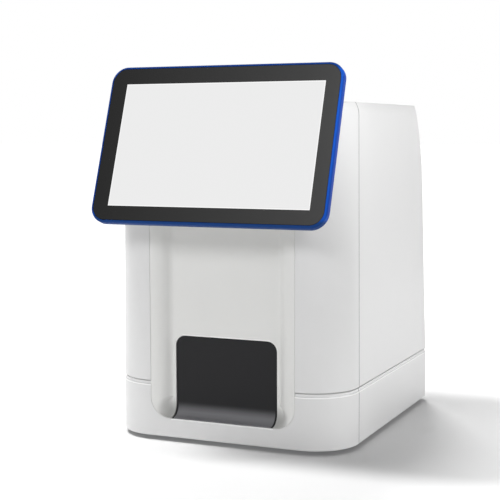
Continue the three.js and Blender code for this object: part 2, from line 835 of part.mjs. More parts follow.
function powerSupply() {
  const xs = from(bodyWidth / 2 - supplySideMargin - supplyWidth, supplyWidth);
  const ys = from(supplySetback, supplyLength);
  const zs = from(onDeck, supplyHeight);
  const terminal = box([xs[0] + supplyWall, xs[1] - supplyWall],
    [ys[0] - overrun, ys[0] + supplyTerminalLength], [zs[1] - supplyHeight / 2, zs[1] + overrun]);
  return box(xs, ys, zs).subtract(terminal);
}

// Rear bay pieces
function screwPlaces() {
  const x = bayWidth / 2 - bayLip / 2;
  const z = [bayFloor + bayLip / 2, bayTop - bayLip / 2];
  return [[-x, z[0]], [x, z[0]], [-x, z[1]], [x, z[1]]];
}

function rearPanel() {
  const ys = [rearPanelInner, bayFace];
  const through = [rearPanelInner - overrun, bayFace + overrun];
  return box(across(bayWidth - 2 * fit), ys, [bayFloor + fit, bayTop - fit])
    .subtract(joined([
      prism('y', circle(fanAxis.x, fanAxis.z, fanBore), through),
      box(about(inletOffset, inletBodyWidth + 2 * fit), through, about(bayRow, inletBodyHeight + 2 * fit)),
      box(about(switchOffset, switchBodyWidth + 2 * fit), through, about(bayRow, switchBodyHeight + 2 * fit)),
      box([portXs[0] - fit, portXs[1] + fit], through, [portZs[0] - fit, portZs[1] + fit]),
      ...screwPlaces().map(([x, z]) => prism('y', circle(x, z, screwShankRadius + fit, smallSides), through)),
    ]));
}

function panelScrew(x, z) {
  const head = bayFace + fit;
  const tip = rearPanelInner - fit - bayLipWall;
  return prism('y', circle(x, z, screwHeadRadius, smallSides), from(head, screwHeadHeight))
    .add(prism('y', circle(x, z, screwShankRadius, smallSides), [tip, head + fit]));
}

function fanFrame() {
  const ys = [rearPanelInner - fit - fanDepth, rearPanelInner - fit];
  const { x, z } = fanAxis;
  const frame = prism('y', rounded(about(x, fanSize), about(z, fanSize), fanCornerRadius), ys)
    .subtract(prism('y', circle(x, z, fanBore), [ys[0] - overrun, ys[1] + overrun]));
  const spider = [ys[1] - fanHubWall, ys[1]];
  return joined([
    frame,
    box(about(x, fanSize - fanCornerRadius), spider, about(z, fanArmWidth)),
    box(about(x, fanArmWidth), spider, about(z, fanSize - fanCornerRadius)),
    prism('y', circle(x, z, fanHubRadius), spider),
    prism('y', circle(x, z, fanShaftRadius, smallSides), [spider[0] - fanRotorDepth + fanHubWall, ys[1]]),
  ]);
}

function fanRotor() {
  const back = rearPanelInner - 2 * fit - fanHubWall;
  const ys = [back - fanRotorDepth, back];
  const { x, z } = fanAxis;
  const middle = (ys[0] + ys[1]) / 2;
  const blades = Array.from({ length: fanBladeCount }, (_, i) => {
    const place = new THREE.Matrix4().makeTranslation(x, middle, z)
      .multiply(new THREE.Matrix4().makeRotationY(fullTurn * i / fanBladeCount))
      .multiply(new THREE.Matrix4().makeRotationX(THREE.MathUtils.degToRad(fanBladePitch)));
    return box([fanHubRadius - fanBladeWall, fanBladeReach], across(fanBladeWall), across(fanRotorDepth),
      place);
  });
  const swept = prism('y', circle(x, z, fanBladeReach), ys);
  const bore = prism('y', circle(x, z, fanShaftRadius + fit, smallSides),
    [ys[0] + fanHubWall, ys[1] + overrun]);
  return joined([prism('y', circle(x, z, fanHubRadius), ys), ...blades]).intersect(swept).subtract(bore);
}

function fanGuard() {
  const ys = from(bayFace + fit, guardWire);
  const { x, z } = fanAxis;
  const outer = fanBore + 2 * guardWire;
  const rings = Array.from({ length: guardRings }, (_, i) => {
    const radius = outer - (outer - fanHubRadius) * i / guardRings;
    return prism('y', circle(x, z, radius), ys)
      .subtract(prism('y', circle(x, z, radius - guardWire), [ys[0] - overrun, ys[1] + overrun]));
  });
  const spokes = Array.from({ length: guardSpokeCount / 2 }, (_, i) => {
    const place = new THREE.Matrix4().makeTranslation(x, 0, z)
      .multiply(new THREE.Matrix4().makeRotationY(upright * (i + 1 / 2)));
    return box(across(2 * outer - guardWire), ys, across(guardWire), place);
  });
  return joined([...rings, ...spokes]);
}

function powerInlet() {
  const flange = box(about(inletOffset, inletFlangeWidth), from(bayFace + fit, inletFlangeWall),
    about(bayRow, inletFlangeHeight));
  const back = bayFace + fit + inletFlangeWall - inletBodyDepth;
  const bodyBlock = box(about(inletOffset, inletBodyWidth), [back, bayFace + fit + inletFlangeWall],
    about(bayRow, inletBodyHeight));
  const socket = box(about(inletOffset, inletBodyWidth - 2 * inletWall),
    [back + inletFloor, bodyDepth + overrun], about(bayRow, inletBodyHeight - 2 * inletWall));
  const pins = [-1, 0, 1].map((n) => box(about(inletOffset + n * inletPinSpacing, inletPinWidth),
    from(back, inletPinLength), about(bayRow + (n ? -inletPinDrop : inletPinDrop), inletPinHeight)));
  return joined([flange.add(bodyBlock).subtract(socket), ...pins]);
}

function switchBody() {
  const front = bayFace + fit;
  const back = front + switchFlangeWall - switchBodyDepth;
  const outer = box(about(switchOffset, switchFlangeWidth), from(front, switchFlangeWall),
    about(bayRow, switchFlangeHeight))
    .add(box(about(switchOffset, switchBodyWidth), [back, front + fit], about(bayRow, switchBodyHeight)));
  const cavity = box(about(switchOffset, switchBodyWidth - 2 * switchWall), [back + switchWall, bodyDepth],
    about(bayRow, switchBodyHeight - 2 * switchWall));
  return outer.subtract(cavity);
}

// The rocker's own frame: Y points out of the panel from the pivot
const rockerPivotY = bayFace + fit + switchFlangeWall - rockerProud;

function switchRocker() {
  const half = switchBodyHeight / 2 - switchWall - 2 * fit;
  const wide = switchBodyWidth - 2 * switchWall - 2 * fit;
  const rise = half * Math.tan(THREE.MathUtils.degToRad(rockerTilt));
  const outline = points([-rockerDepth / 2, 0], [0, -half], [rockerProud + rise, -half], [rockerProud, 0],
    [rockerProud + rise, half], [0, half]);
  return prism('x', outline, across(wide));
}

const portXs = from(bayLip + fit - bayWidth / 2, portBlockWidth);
const portZs = from(deck + computerStandoff + boardThickness + 2 * fit, portBlockHeight);
const portYs = [bayFace + portProud - portBlockDepth, bayFace + portProud];

function portBlock() {
  const mouth = [portYs[1] - portDepth, portYs[1] + overrun];
  const usbX = from(portXs[0] + portWall, portWidth);
  const usb = [0, 1].map((n) => box(usbX, mouth, from(portZs[0] + portWall + n * portPitch, portHeight)));
  const lan = box([portXs[1] - portWall - portWidth, portXs[1] - portWall], mouth,
    from(portZs[0] + portWall, lanPortHeight));
  return box(portXs, portYs, portZs).subtract(joined([...usb, lan]));
}

// Optics
const columnYs = from(columnSetback, columnWall);
const columnTop = roof - columnHeadroom;
const columnFront = columnSetback - fit;

function opticsColumn() {
  const plate = box(across(columnWidth), columnYs, [onDeck, columnTop]);
  const base = box(across(columnWidth), from(columnSetback, columnWall + columnFootLength),
    from(onDeck, columnFootWall));
  const gusset = points([columnYs[1] - fit, onDeck], [columnYs[1] + columnFootLength, onDeck],
    [columnYs[1] + columnFootLength, onDeck + columnFootWall], [columnYs[1] - fit, onDeck + gussetHeight]);
  const gussets = [-1, 1].map((s) => prism('x', gusset, about(s * (columnWidth - gussetWall) / 2, gussetWall)));
  return joined([plate, base, ...gussets]);
}

const stageLow = deck + stageRise;
const stageTop = stageLow + stageWall;

function stageBase() {
  const table = box(across(stageWidth), [columnFront - stageReach, columnFront], [stageLow, stageTop]);
  const back = box(across(columnWidth), [columnFront - stageBackWall, columnFront],
    from(stageLow, stageBackHeight));
  return table.add(back)
    .subtract(prism('z', circle(0, opticAxisSetback, stageBore), [stageLow - overrun, stageTop + overrun]));
}

function stageLamp() {
  const top = stageLow - fit;
  const collar = prism('z', circle(0, opticAxisSetback, lampFlangeRadius), [top - lampFlangeWall, top]);
  const housing = prism('z', circle(0, opticAxisSetback, lampRadius), [top - lampHeight, top]);
  const lens = prism('z', circle(0, opticAxisSetback, lampLensRadius),
    [top - lampLensHeight, top + lampLensHeight]);
  return joined([collar, housing, lens]);
}

const slidePlateZs = from(stageTop + fit, slidePlateWall);

function slidePlate() {
  return box(across(slidePlateWidth), about(opticAxisSetback, slidePlateLength), slidePlateZs)
    .subtract(box(across(slideWindowWidth), about(opticAxisSetback, slideWindowLength),
      [slidePlateZs[0] - overrun, slidePlateZs[1] + overrun]));
}

const carriageZs = from(deck + carriageRise, carriageHeight);
const carriageYs = [columnFront - carriageDepth, columnFront];
const focusScrewX = carriageWidth / 2 + lugWidth / 2;
const focusScrewY = columnFront - focusMotorWidth / 2;

function focusCarriage() {
  const lug = box([carriageWidth / 2 - fit, carriageWidth / 2 + lugWidth],
    [focusScrewY - lugWidth / 2, columnFront], [carriageZs[1] - lugHeight, carriageZs[1]]);
  const nut = prism('z', circle(focusScrewX, focusScrewY, focusScrewRadius + fit),
    [carriageZs[0], carriageZs[1] + overrun]);
  return box(across(carriageWidth), carriageYs, carriageZs).add(lug).subtract(nut);
}

function objective() {
  const top = carriageZs[0] - fit;
  const low = top - objectiveLength;
  return turned([[0, low], [objectiveTipRadius, low], [objectiveRadius, low + objectiveTaper],
    [objectiveRadius, top], [0, top]], 0, opticAxisSetback);
}

function cameraBody() {
  return box(across(cameraWidth), about(opticAxisSetback, cameraDepth),
    from(carriageZs[1] + fit, cameraHeight));
}

function focusMotor() {
  const low = columnTop - focusMotorDrop;
  const screw = prism('z', circle(focusScrewX, focusScrewY, focusScrewRadius, smallSides),
    [low - focusScrewLength, low + fit]);
  return box(about(focusScrewX, focusMotorWidth), [columnFront - focusMotorWidth, columnFront],
    from(low, focusMotorHeight)).add(screw);
}

// Liquid handling
const gantryTop = onDeck + gantryHeight;
const headYs = [gantrySetback - fit - headDepth, gantrySetback - fit];
const needleAxis = { x: 0, y: (headYs[0] + headYs[1]) / 2 };
const headLow = deck + headRise;

function gantry() {
  const gantryInnerWidth = 2 * (outerReach + fit + bracketWall + gantryClearance);
  const wide = gantryInnerWidth + 2 * gantryPostWidth;
  const ys = from(gantrySetback, gantryLength);
  return box(across(wide), ys, [onDeck, gantryTop])
    .subtract(box(across(gantryInnerWidth), [ys[0] - overrun, ys[1] + overrun],
      [onDeck - overrun, gantryTop - gantryBeamHeight]));
}

function dispensingHead() {
  return box(across(headWidth), headYs, from(headLow, headHeight));
}

function needle() {
  const top = headLow - fit;
  const tip = top - needleLength;
  const hub = top - needleHubHeight;
  return turned([[0, tip], [needleRadius, tip], [needleRadius, hub], [needleHubRadius, hub],
    [needleHubRadius, top], [0, top]], needleAxis.x, needleAxis.y, smallSides);
}

const pumpXs = from(pumpSideMargin - bodyWidth / 2, pumpWidth);
const pumpYs = from(pumpSetback, pumpDepth);
const pumpTop = onDeck + pumpHeight;
const syringeAxis = { x: (pumpXs[0] + pumpXs[1]) / 2, y: pumpSetback - clampReach / 2 };
const barrelTop = pumpTop - clampDrop + clampWall / 2;
const barrelLow = barrelTop - syringeLength;

function syringePump() {
  const clampZs = [pumpTop - clampDrop - clampWall, pumpTop - clampDrop];
  const clamp = box(about(syringeAxis.x, 2 * clampReach), [pumpSetback - clampReach, pumpSetback + fit],
    clampZs);
  const bore = prism('z', circle(syringeAxis.x, syringeAxis.y, syringeOuterRadius + fit),
    [clampZs[0] - overrun, clampZs[1] + overrun]);
  const slot = box(about(syringeAxis.x, pumpSlotWidth), [pumpSetback - overrun, pumpSetback + pumpSlotDepth],
    [onDeck + clampDrop, clampZs[0] - clampDrop]);
  return box(pumpXs, pumpYs, [onDeck, pumpTop]).add(clamp).subtract(bore).subtract(slot);
}

function syringeBarrel() {
  return turned([
    [0, barrelTop - syringeCap], [syringeInnerRadius, barrelTop - syringeCap], [syringeInnerRadius, barrelLow],
    [syringeOuterRadius, barrelLow], [syringeOuterRadius, barrelTop],
    [syringeNozzleRadius, barrelTop], [syringeNozzleRadius, barrelTop + syringeNozzleLength],
    [0, barrelTop + syringeNozzleLength],
  ], syringeAxis.x, syringeAxis.y);
}

function syringePlunger() {
  const { x, y } = syringeAxis;
  const head = barrelTop - syringeCap - plungerTop;
  const rodLow = head - plungerRodLength;
  const arm = box(about(x, plungerArmWidth), [y - plungerArmWidth / 2, pumpSetback - fit],
    from(rodLow, plungerArmHeight));
  const tongue = box(about(x, pumpSlotWidth - 2 * fit), [y, pumpSetback + pumpSlotDepth - fit],
    from(rodLow, plungerArmHeight));
  return joined([
    prism('z', circle(x, y, syringeInnerRadius - fit), [head - plungerHeadHeight, head]),
    prism('z', circle(x, y, plungerRodRadius, smallSides), [rodLow, head]),
    arm, tongue,
  ]);
}

// Display pieces, in the display's own frame
const rimOuter = { x: glassWidth + 2 * rimWidth, z: glassHeight + 2 * rimWidth };
const rimBack = rimDepth + fit;
const bulgeBack = rimBack + bulgeDepth;

function slab(width, height, radius, depths, steps = smallSteps) {
  return prism('y', rounded(across(width), across(height), radius, steps), depths);
}

// A slab whose two faces meet its sides in a round, or in a chamfer where the round has one facet
function softSlab(width, height, radius, [front, back], round, bevelSegments) {
  const outline = rounded(across(width - 2 * round), across(height - 2 * round), radius - round);
  const geometry = new THREE.ExtrudeGeometry(new THREE.Shape(outline), {
    depth: back - front - 2 * round, bevelThickness: round, bevelSize: round, bevelSegments,
  });
  geometry.applyMatrix4(turnTo.y);
  geometry.translate(0, back - round, 0);
  return toSolid(geometry);
}

function displayRim() {
  const seat = slab(glassWidth + 2 * fit, glassHeight + 2 * fit, glassCornerRadius + fit,
    [-overrun, glassThickness + fit]);
  const opening = slab(glassWidth - 2 * rimLedge, glassHeight - 2 * rimLedge, glassCornerRadius - rimLedge,
    [-overrun, rimDepth + overrun]);
  return softSlab(rimOuter.x, rimOuter.z, glassCornerRadius + rimWidth, [0, rimDepth], rimRound, rimFacets)
    .subtract(seat).subtract(opening);
}

function displayGlass() {
  return slab(glassWidth, glassHeight, glassCornerRadius, [0, glassThickness]);
}

function lcdPanel() {
  const front = glassThickness + fit;
  return box(across(lcdWidth), from(front, lcdThickness), across(lcdHeight));
}

function displayBoard() {
  const front = glassThickness + lcdThickness + 2 * fit;
  return box(across(displayBoardWidth), from(front, boardThickness), across(displayBoardHeight))
    .add(box(across(chipSize), from(front, boardThickness + chipHeight), across(chipSize)));
}

function backCover() {
  const edge = slab(rimOuter.x - 2 * backPlateMargin, rimOuter.z - 2 * backPlateMargin,
    glassCornerRadius - backPlateMargin / 2, from(rimBack, backPlateWall));
  const behindRim = box(across(rimOuter.x), [rimBack, bulgeBack], across(rimOuter.z));
  const bulge = (inset) => softSlab(bulgeWidth - 2 * inset, bulgeHeight - 2 * inset, bulgeCornerRadius - inset,
    [-bulgeBack, bulgeBack - inset], bulgeChamfer, 1);
  return edge.add(bulge(0).intersect(behindRim)).subtract(bulge(backPlateWall));
}

function displayArm() {
  const front = bulgeBack + fit;
  const flange = box(across(armFlangeWidth), from(front, armFlangeWall), about(pivotRise, armFlangeHeight));
  const tongue = box(across(armWidth), [front, pivotDepth], about(pivotRise, armThickness));
  const round = prism('x', circle(pivotDepth, pivotRise, armThickness / 2, roundSides), across(armWidth));
  const bore = prism('x', circle(pivotDepth, pivotRise, hingePinRadius + fit, smallSides),
    across(armWidth + overrun));
  return joined([flange, tongue, round]).subtract(bore);
}

const bracketFront = displayStandOff + shellWall + fit;

function hingeBracket() {
  const plate = box(across(bracketPlateWidth), from(bracketFront, bracketPlateWall),
    about(pivotRise, bracketPlateHeight))
    .subtract(box(across(armWidth + 2 * fit), [bracketFront - overrun, bracketFront + overrun],
      about(pivotRise, neckOpeningHeight)));
  const ears = [-1, 1].map((s) => {
    const xs = about(s * (armWidth / 2 + fit + earWall / 2), earWall);
    return prism('x', circle(pivotDepth, pivotRise, earRadius), xs)
      .add(box(xs, [bracketFront, pivotDepth], about(pivotRise, 2 * earRadius)));
  });
  const bore = prism('x', circle(pivotDepth, pivotRise, hingePinRadius + fit, smallSides),
    across(bracketPlateWidth));
  return joined([plate, ...ears]).subtract(bore);
}

function hingePin() {
  return prism('x', circle(pivotDepth, pivotRise, hingePinRadius, smallSides),
    across(armWidth + 2 * (fit + earWall)));
}

// Finishes
const finish = {
  shell: new THREE.MeshStandardMaterial({ color: 0xe2e2e4, roughness: 0.45, metalness: 0 }),
  panel: new THREE.MeshStandardMaterial({ color: 0xdadad6, roughness: 0.5, metalness: 0 }),
  black: new THREE.MeshStandardMaterial({ color: 0x2b2b2d, roughness: 0.5, metalness: 0 }),
  blue: new THREE.MeshStandardMaterial({ color: 0x1e57b7, roughness: 0.35, metalness: 0 }),
  glass: new THREE.MeshStandardMaterial({ color: 0x303032, roughness: 0.1, metalness: 0 }),
  steel: new THREE.MeshStandardMaterial({ color: 0xb4b8bc, roughness: 0.35, metalness: 1 }),
  aluminium: new THREE.MeshStandardMaterial({ color: 0xc6c9cc, roughness: 0.4, metalness: 1 }),
  brass: new THREE.MeshStandardMaterial({ color: 0xb08d4f, roughness: 0.35, metalness: 1 }),
  rubber: new THREE.MeshStandardMaterial({ color: 0x242424, roughness: 0.9, metalness: 0 }),
  board: new THREE.MeshStandardMaterial({ color: 0x1f5a3c, roughness: 0.6, metalness: 0 }),
  clear: new THREE.MeshStandardMaterial({ color: 0xd8e4e8, roughness: 0.05, metalness: 0 }),
};

const analyzer = new THREE.Group();

function add(name, solid, material, group = analyzer) {
  const mesh = new THREE.Mesh(toGeometry(solid), material);
  mesh.name = name;
  group.add(mesh);
}

const hollow = hollowBody();
add('front_cover', frontCover(hollow), finish.shell);
add('rear_cover', rearCover(hollow), finish.shell);
add('recess_panel', recessPanel(), finish.panel);
add('base_plate', basePlate(), finish.steel);
for (const [end, y] of [['front', footEndMargin], ['rear', bodyDepth - footEndMargin]]) {
  add(`foot_${end}_left`, foot(footSideMargin - bodyWidth / 2, y), finish.rubber);
  add(`foot_${end}_right`, foot(bodyWidth / 2 - footSideMargin, y), finish.rubber);
}

add('drawer_front', drawerFront(), finish.black);
add('drawer_tray', drawerTray(), finish.black);
add('cartridge_holder', cartridgeHolder(), finish.aluminium);
for (const [name, side] of [['left', -1], ['right', 1]]) {
  add(`runner_inner_${name}`, innerBar(side), finish.steel);
  add(`runner_middle_${name}`, middleChannel(side), finish.steel);
  add(`runner_outer_${name}`, outerChannel(side), finish.steel);
  add(`runner_bracket_${name}`, runnerBracket(side), finish.steel);
}
add('drawer_rack', rack(), finish.brass);
add('drive_pinion', pinion(), finish.brass);
add('drawer_motor', drawerMotor(), finish.black);

add('computer_board', computerBoard(), finish.board);
add('driver_board', driverBoard(), finish.board);
add('power_supply', powerSupply(), finish.aluminium);

add('rear_panel', rearPanel(), finish.steel);
screwPlaces().forEach(([x, z], i) => add(`panel_screw_${i + 1}`, panelScrew(x, z), finish.steel));
add('fan_frame', fanFrame(), finish.black);
add('fan_rotor', fanRotor(), finish.black);
add('fan_guard', fanGuard(), finish.steel);
add('power_inlet', powerInlet(), finish.black);
add('switch_body', switchBody(), finish.black);
add('port_block', portBlock(), finish.steel);
const rockerGroup = new THREE.Group();
rockerGroup.position.set(switchOffset, rockerPivotY, bayRow);
rockerGroup.rotation.x = THREE.MathUtils.degToRad(rockerTilt);
analyzer.add(rockerGroup);
add('switch_rocker', switchRocker(), finish.black, rockerGroup);

add('optics_column', opticsColumn(), finish.aluminium);
add('stage_base', stageBase(), finish.aluminium);
add('stage_lamp', stageLamp(), finish.black);
add('slide_plate', slidePlate(), finish.aluminium);
add('focus_carriage', focusCarriage(), finish.aluminium);
add('objective', objective(), finish.brass);
add('camera_body', cameraBody(), finish.black);
add('focus_motor', focusMotor(), finish.black);

add('dispensing_gantry', gantry(), finish.aluminium);
add('dispensing_head', dispensingHead(), finish.black);
add('needle', needle(), finish.steel);
add('syringe_pump', syringePump(), finish.black);
add('syringe_barrel', syringeBarrel(), finish.clear);
add('syringe_plunger', syringePlunger(), finish.steel);

const display = new THREE.Group();
display.applyMatrix4(displayPlace);
analyzer.add(display);
add('display_rim', displayRim(), finish.blue, display);
add('display_glass', displayGlass(), finish.glass, display);
add('lcd_panel', lcdPanel(), finish.aluminium, display);
add('display_board', displayBoard(), finish.board, display);
add('display_back_cover', backCover(), finish.shell, display);
add('display_arm', displayArm(), finish.aluminium, display);
add('hinge_bracket', hingeBracket(), finish.steel, display);
add('hinge_pin', hingePin(), finish.steel, display);

// The origin is under the middle of the whole object, on the bench
const reach = new THREE.Box3().setFromObject(analyzer);
analyzer.position.y = -(reach.min.y + reach.max.y) / 2;

export default analyzer;
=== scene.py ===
"""A bench-top blood cell analyzer: two moulded covers, a recessed drawer, a leaning display, a rear bay."""

import json
from math import atan2, copysign, cos, pi, radians, sin, sqrt

import bmesh
import bpy
from mathutils import Matrix, Vector


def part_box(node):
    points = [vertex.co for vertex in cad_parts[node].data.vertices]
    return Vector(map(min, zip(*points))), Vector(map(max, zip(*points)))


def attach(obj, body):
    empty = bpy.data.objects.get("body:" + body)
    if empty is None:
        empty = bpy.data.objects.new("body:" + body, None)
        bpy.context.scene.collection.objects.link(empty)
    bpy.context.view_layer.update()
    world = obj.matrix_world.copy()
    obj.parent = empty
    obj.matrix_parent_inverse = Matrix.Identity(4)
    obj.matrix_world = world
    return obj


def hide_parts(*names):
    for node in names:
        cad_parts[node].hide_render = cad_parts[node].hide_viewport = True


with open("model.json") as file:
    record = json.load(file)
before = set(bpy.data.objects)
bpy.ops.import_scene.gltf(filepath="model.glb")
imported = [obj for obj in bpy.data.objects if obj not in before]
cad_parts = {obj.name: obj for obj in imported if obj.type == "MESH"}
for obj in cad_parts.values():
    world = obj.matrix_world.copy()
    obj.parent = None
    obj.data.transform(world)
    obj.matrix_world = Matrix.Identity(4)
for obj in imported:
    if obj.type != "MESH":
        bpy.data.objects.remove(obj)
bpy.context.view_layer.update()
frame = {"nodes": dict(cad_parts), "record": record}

# Camera
# A long lens in front of the right corner, a little above the middle of the body. Its place and lens come
# from the edges of the photographed body.
CAMERA_PLACE = Vector((0.5290, -1.2588, 0.3241))
CAMERA_TURN, CAMERA_DROP, CAMERA_ROLL = radians(23.75), radians(5.46), radians(-0.18)
camera_data = bpy.data.cameras.new("camera")
camera_data.lens = 88.07
camera_data.sensor_width = 36
camera = bpy.data.objects.new("camera", camera_data)
camera.matrix_world = (
    Matrix.Translation(CAMERA_PLACE)
    @ Matrix.Rotation(CAMERA_TURN, 4, "Z")
    @ Matrix.Rotation(pi / 2 - CAMERA_DROP, 4, "X")
    @ Matrix.Rotation(CAMERA_ROLL, 4, "Z")
)
scene = bpy.context.scene
scene.collection.objects.link(camera)
scene.camera = camera
scene.view_settings.view_transform = "Standard"


# Studio
# A white floor that runs on as the backdrop. Three lamps light only the floor and throw the soft shadow to
# the right. The others light only the object, each side at its own level, under a faint even sky.
WHITE = (1, 1, 1, 1)
FLOOR_HALF = 30
OBJECT_MIDDLE = (0, 0, 0.2)


def painted(red, green, blue):
    """A colour given in the 0 to 255 steps of a picture, as the shader takes it."""
    steps = [value / 255 for value in (red, green, blue)]
    return [s / 12.92 if s <= 0.04045 else ((s + 0.055) / 1.055) ** 2.4 for s in steps] + [1]


class Mask:
    """A number that varies over a surface. Arithmetic on it adds the nodes that work it out."""

    def __init__(self, socket):
        self.socket = socket

    def step(self, operation, other=0.0):
        tree = self.socket.id_data
        return Mask(shader_node(tree, "Math", {0: self, 1: other}, operation=operation).outputs[0])

    def __add__(self, other):
        return self.step("ADD", other)

    def __sub__(self, other):
        return self.step("SUBTRACT", other)

    def __mul__(self, other):
        return self.step("MULTIPLY", other)

    def __truediv__(self, other):
        return self.step("DIVIDE", other)

    def __pow__(self, other):
        return self.step("POWER", other)

    def __or__(self, other):
        return self.step("MAXIMUM", other)

    def __lt__(self, other):
        return self.step("LESS_THAN", other)

    def __gt__(self, other):
        return self.step("GREATER_THAN", other)

    def __abs__(self):
        return self.step("ABSOLUTE")


def feed(socket, value):
    """Gives an input a plain value, or links it to a mask or to another node's output."""
    if isinstance(value, Mask):
        value = value.socket
    if isinstance(value, bpy.types.NodeSocket):
        socket.id_data.links.new(value, socket)
    else:
        socket.default_value = value


def shader_node(tree, kind, inputs=None, **settings):
    """Adds a shader node, sets it up and feeds its inputs."""
    made = tree.nodes.new(f"ShaderNode{kind}")
    for name, setting in settings.items():
        setattr(made, name, setting)
    for key, value in (inputs or {}).items():
        feed(made.inputs[key], value)
    return made


def backdrop_share(tree):
    """1 where the camera, a reflection or clear glass looks at the backdrop, 0 where it lights the object."""
    rays = shader_node(tree, "LightPath").outputs
    return Mask(rays["Is Camera Ray"]) | Mask(rays["Is Glossy Ray"]) | Mask(rays["Is Transmission Ray"])


def lit_sky(strength):
    world = bpy.data.worlds.new("studio")
    world.use_nodes = True
    tree = world.node_tree
    tree.nodes.clear()
    light = shader_node(tree, "Background", {"Color": WHITE, "Strength": strength}).outputs[0]
    white = shader_node(tree, "Background", {"Color": WHITE, "Strength": 1}).outputs[0]
    sky = shader_node(tree, "MixShader", {0: backdrop_share(tree), 1: light, 2: white}).outputs[0]
    shader_node(tree, "OutputWorld", {"Surface": sky})
    return world


def floor_finish(colour, near_glow, shade_reach, white_from):
    """Plain paper round the object, which turns to even white where the object's shadow has ended."""
    material = bpy.data.materials.new("studio_floor")
    material.use_nodes = True
    tree = material.node_tree
    tree.nodes.clear()
    place = shader_node(tree, "TexCoord").outputs["Object"]
    distance_out = shader_node(tree, "VectorMath", {0: place}, operation="LENGTH").outputs["Value"]
    reach = {"Value": distance_out, "From Min": shade_reach, "From Max": white_from, "To Min": near_glow}
    glow = shader_node(tree, "MapRange", reach, interpolation_type="SMOOTHSTEP").outputs[0]
    glow_seen = backdrop_share(tree) * Mask(glow)
    light = shader_node(tree, "Emission", {"Color": WHITE, "Strength": glow_seen}).outputs[0]
    paper = shader_node(tree, "BsdfDiffuse", {"Color": painted(*colour)}).outputs[0]
    both = shader_node(tree, "AddShader", {0: paper, 1: light}).outputs[0]
    shader_node(tree, "OutputMaterial", {"Surface": both})
    return material


def area_lamp(name, place, target, size, power, receivers):
    """A round lamp that lights only what its receivers say."""
    lamp_data = bpy.data.lights.new(name, "AREA")
    lamp_data.shape = "ELLIPSE"
    lamp_data.size, lamp_data.size_y = size
    lamp_data.energy = power
    lamp = bpy.data.objects.new(name, lamp_data)
    aim = (Vector(place) - Vector(target)).to_track_quat("Z", "Y")
    lamp.matrix_world = Matrix.Translation(place) @ aim.to_matrix().to_4x4()
    lamp.visible_camera = False
    lamp.visible_glossy = False
    scene.collection.objects.link(lamp)
    lamp.light_linking.receiver_collection = receivers


scene.world = lit_sky(strength=0.2)
floor_form = bmesh.new()
bmesh.ops.create_grid(floor_form, x_segments=1, y_segments=1, size=FLOOR_HALF)
floor_mesh = bpy.data.meshes.new("studio_floor")
floor_form.to_mesh(floor_mesh)
floor_form.free()
floor_mesh.materials.append(floor_finish((244, 244, 244), near_glow=0.1, shade_reach=0.25, white_from=1.1))
floor = bpy.data.objects.new("studio_floor", floor_mesh)
scene.collection.objects.link(floor)
all_but_floor = bpy.data.collections.new("all_but_floor")
all_but_floor.objects.link(floor)
all_but_floor.collection_objects[0].light_linking.link_state = "EXCLUDE"
only_floor = bpy.data.collections.new("only_floor")
only_floor.objects.link(floor)

# Each lamp has its name, its place, the place it looks at, its two widths and its power.
floor_lamps = (
    ("floor_lamp", (-0.45, -0.25, 2.4), OBJECT_MIDDLE, (0.85, 0.85), 15.6),
    ("left_floor_lamp", (-0.83, -0.18, 1.7), OBJECT_MIDDLE, (0.37, 0.37), 20.8),
    ("rear_floor_lamp", (-0.28, 0.92, 1.7), OBJECT_MIDDLE, (0.4, 0.4), 14.1),
)
object_lamps = (
    ("key_lamp", (-0.5, -0.3, 2.4), OBJECT_MIDDLE, (0.85, 0.85), 16.5),
    ("side_lamp", (0.9, 0.1, 0.1), (0, 0.1, 0.1), (0.6, 0.6), 0.04),
    ("foot_lamp", (0.36, 0.03, 0.03), (0.13, 0.03, 0.03), (0.5, 0.04), 0.21),
    ("crown_lamp", (0.4, 0.05, 0.45), (0.13, 0.05, 0.36), (0.5, 0.1), 0.56),
    ("left_lamp", (-1.6, 0.5, 0.4), OBJECT_MIDDLE, (0.9, 0.9), 4.5),
    ("rear_lamp", (0.3, 2.4, 0.5), OBJECT_MIDDLE, (0.9, 0.9), 12),
    ("low_front_lamp", (-0.12, -0.45, 0.01), (-0.05, -0.13, 0.01), (0.3, 0.03), 0.045),
    ("low_corner_lamp", (0.24, -0.15, 0.015), (0.12, -0.09, 0.02), (0.1, 0.02), 0.033),
    ("corner_lamp", (0.24, -0.2, 0.38), (0.12, -0.1, 0.3), (0.06, 0.06), 0.13),
    ("front_lamp", (-0.5, -2.5, 1.7), OBJECT_MIDDLE, (0.9, 0.9), 25),
)
for receivers, lamps in ((only_floor, floor_lamps), (all_but_floor, object_lamps)):
    for lamp_values in lamps:
        area_lamp(*lamp_values, receivers)


# Front cover
# An injection moulded shell of light grey satin plastic, 3 mm thick. It ends at an upright seam 51 mm behind
# its face and shares one shadow groove above the foot with the rear cover. It has a window for the recess
# panel, and a slanted face above it through which the display's arm passes.
MM = 0.001  # metres
HAIR = 0.001  # millimetres, within which two places are the same
BODY_WIDTH, BODY_DEPTH, BODY_HEIGHT = 266, 306, 350
SHELL_FOOT, SHELL_WALL = 5, 3
ROOF = SHELL_FOOT + BODY_HEIGHT
FRONT_CORNER, REAR_CORNER, FOOT_SQUARING = 51, 5, 2.6
ROOF_ROUND, ROOF_INSET, REAR_INSET, ROOF_SOFT = 13, 4, 0.8, 0.8
SIDE_TAPER = 1.9
GROOVE_LOW, GROOVE_HEIGHT, GROOVE_DEPTH = SHELL_FOOT + 54.4, 5, 2.2
GROOVE_HIGH = GROOVE_LOW + GROOVE_HEIGHT
GROOVE_SHARES = ((0, -0.1), (0.03, 0.06), (0.18, 0.4), (0.66, 0.46), (0.7, 1), (0.92, 1), (0.95, 0.14),
                 (1, -0.1))
GROOVE_SLOT = (0.68, 0.96)
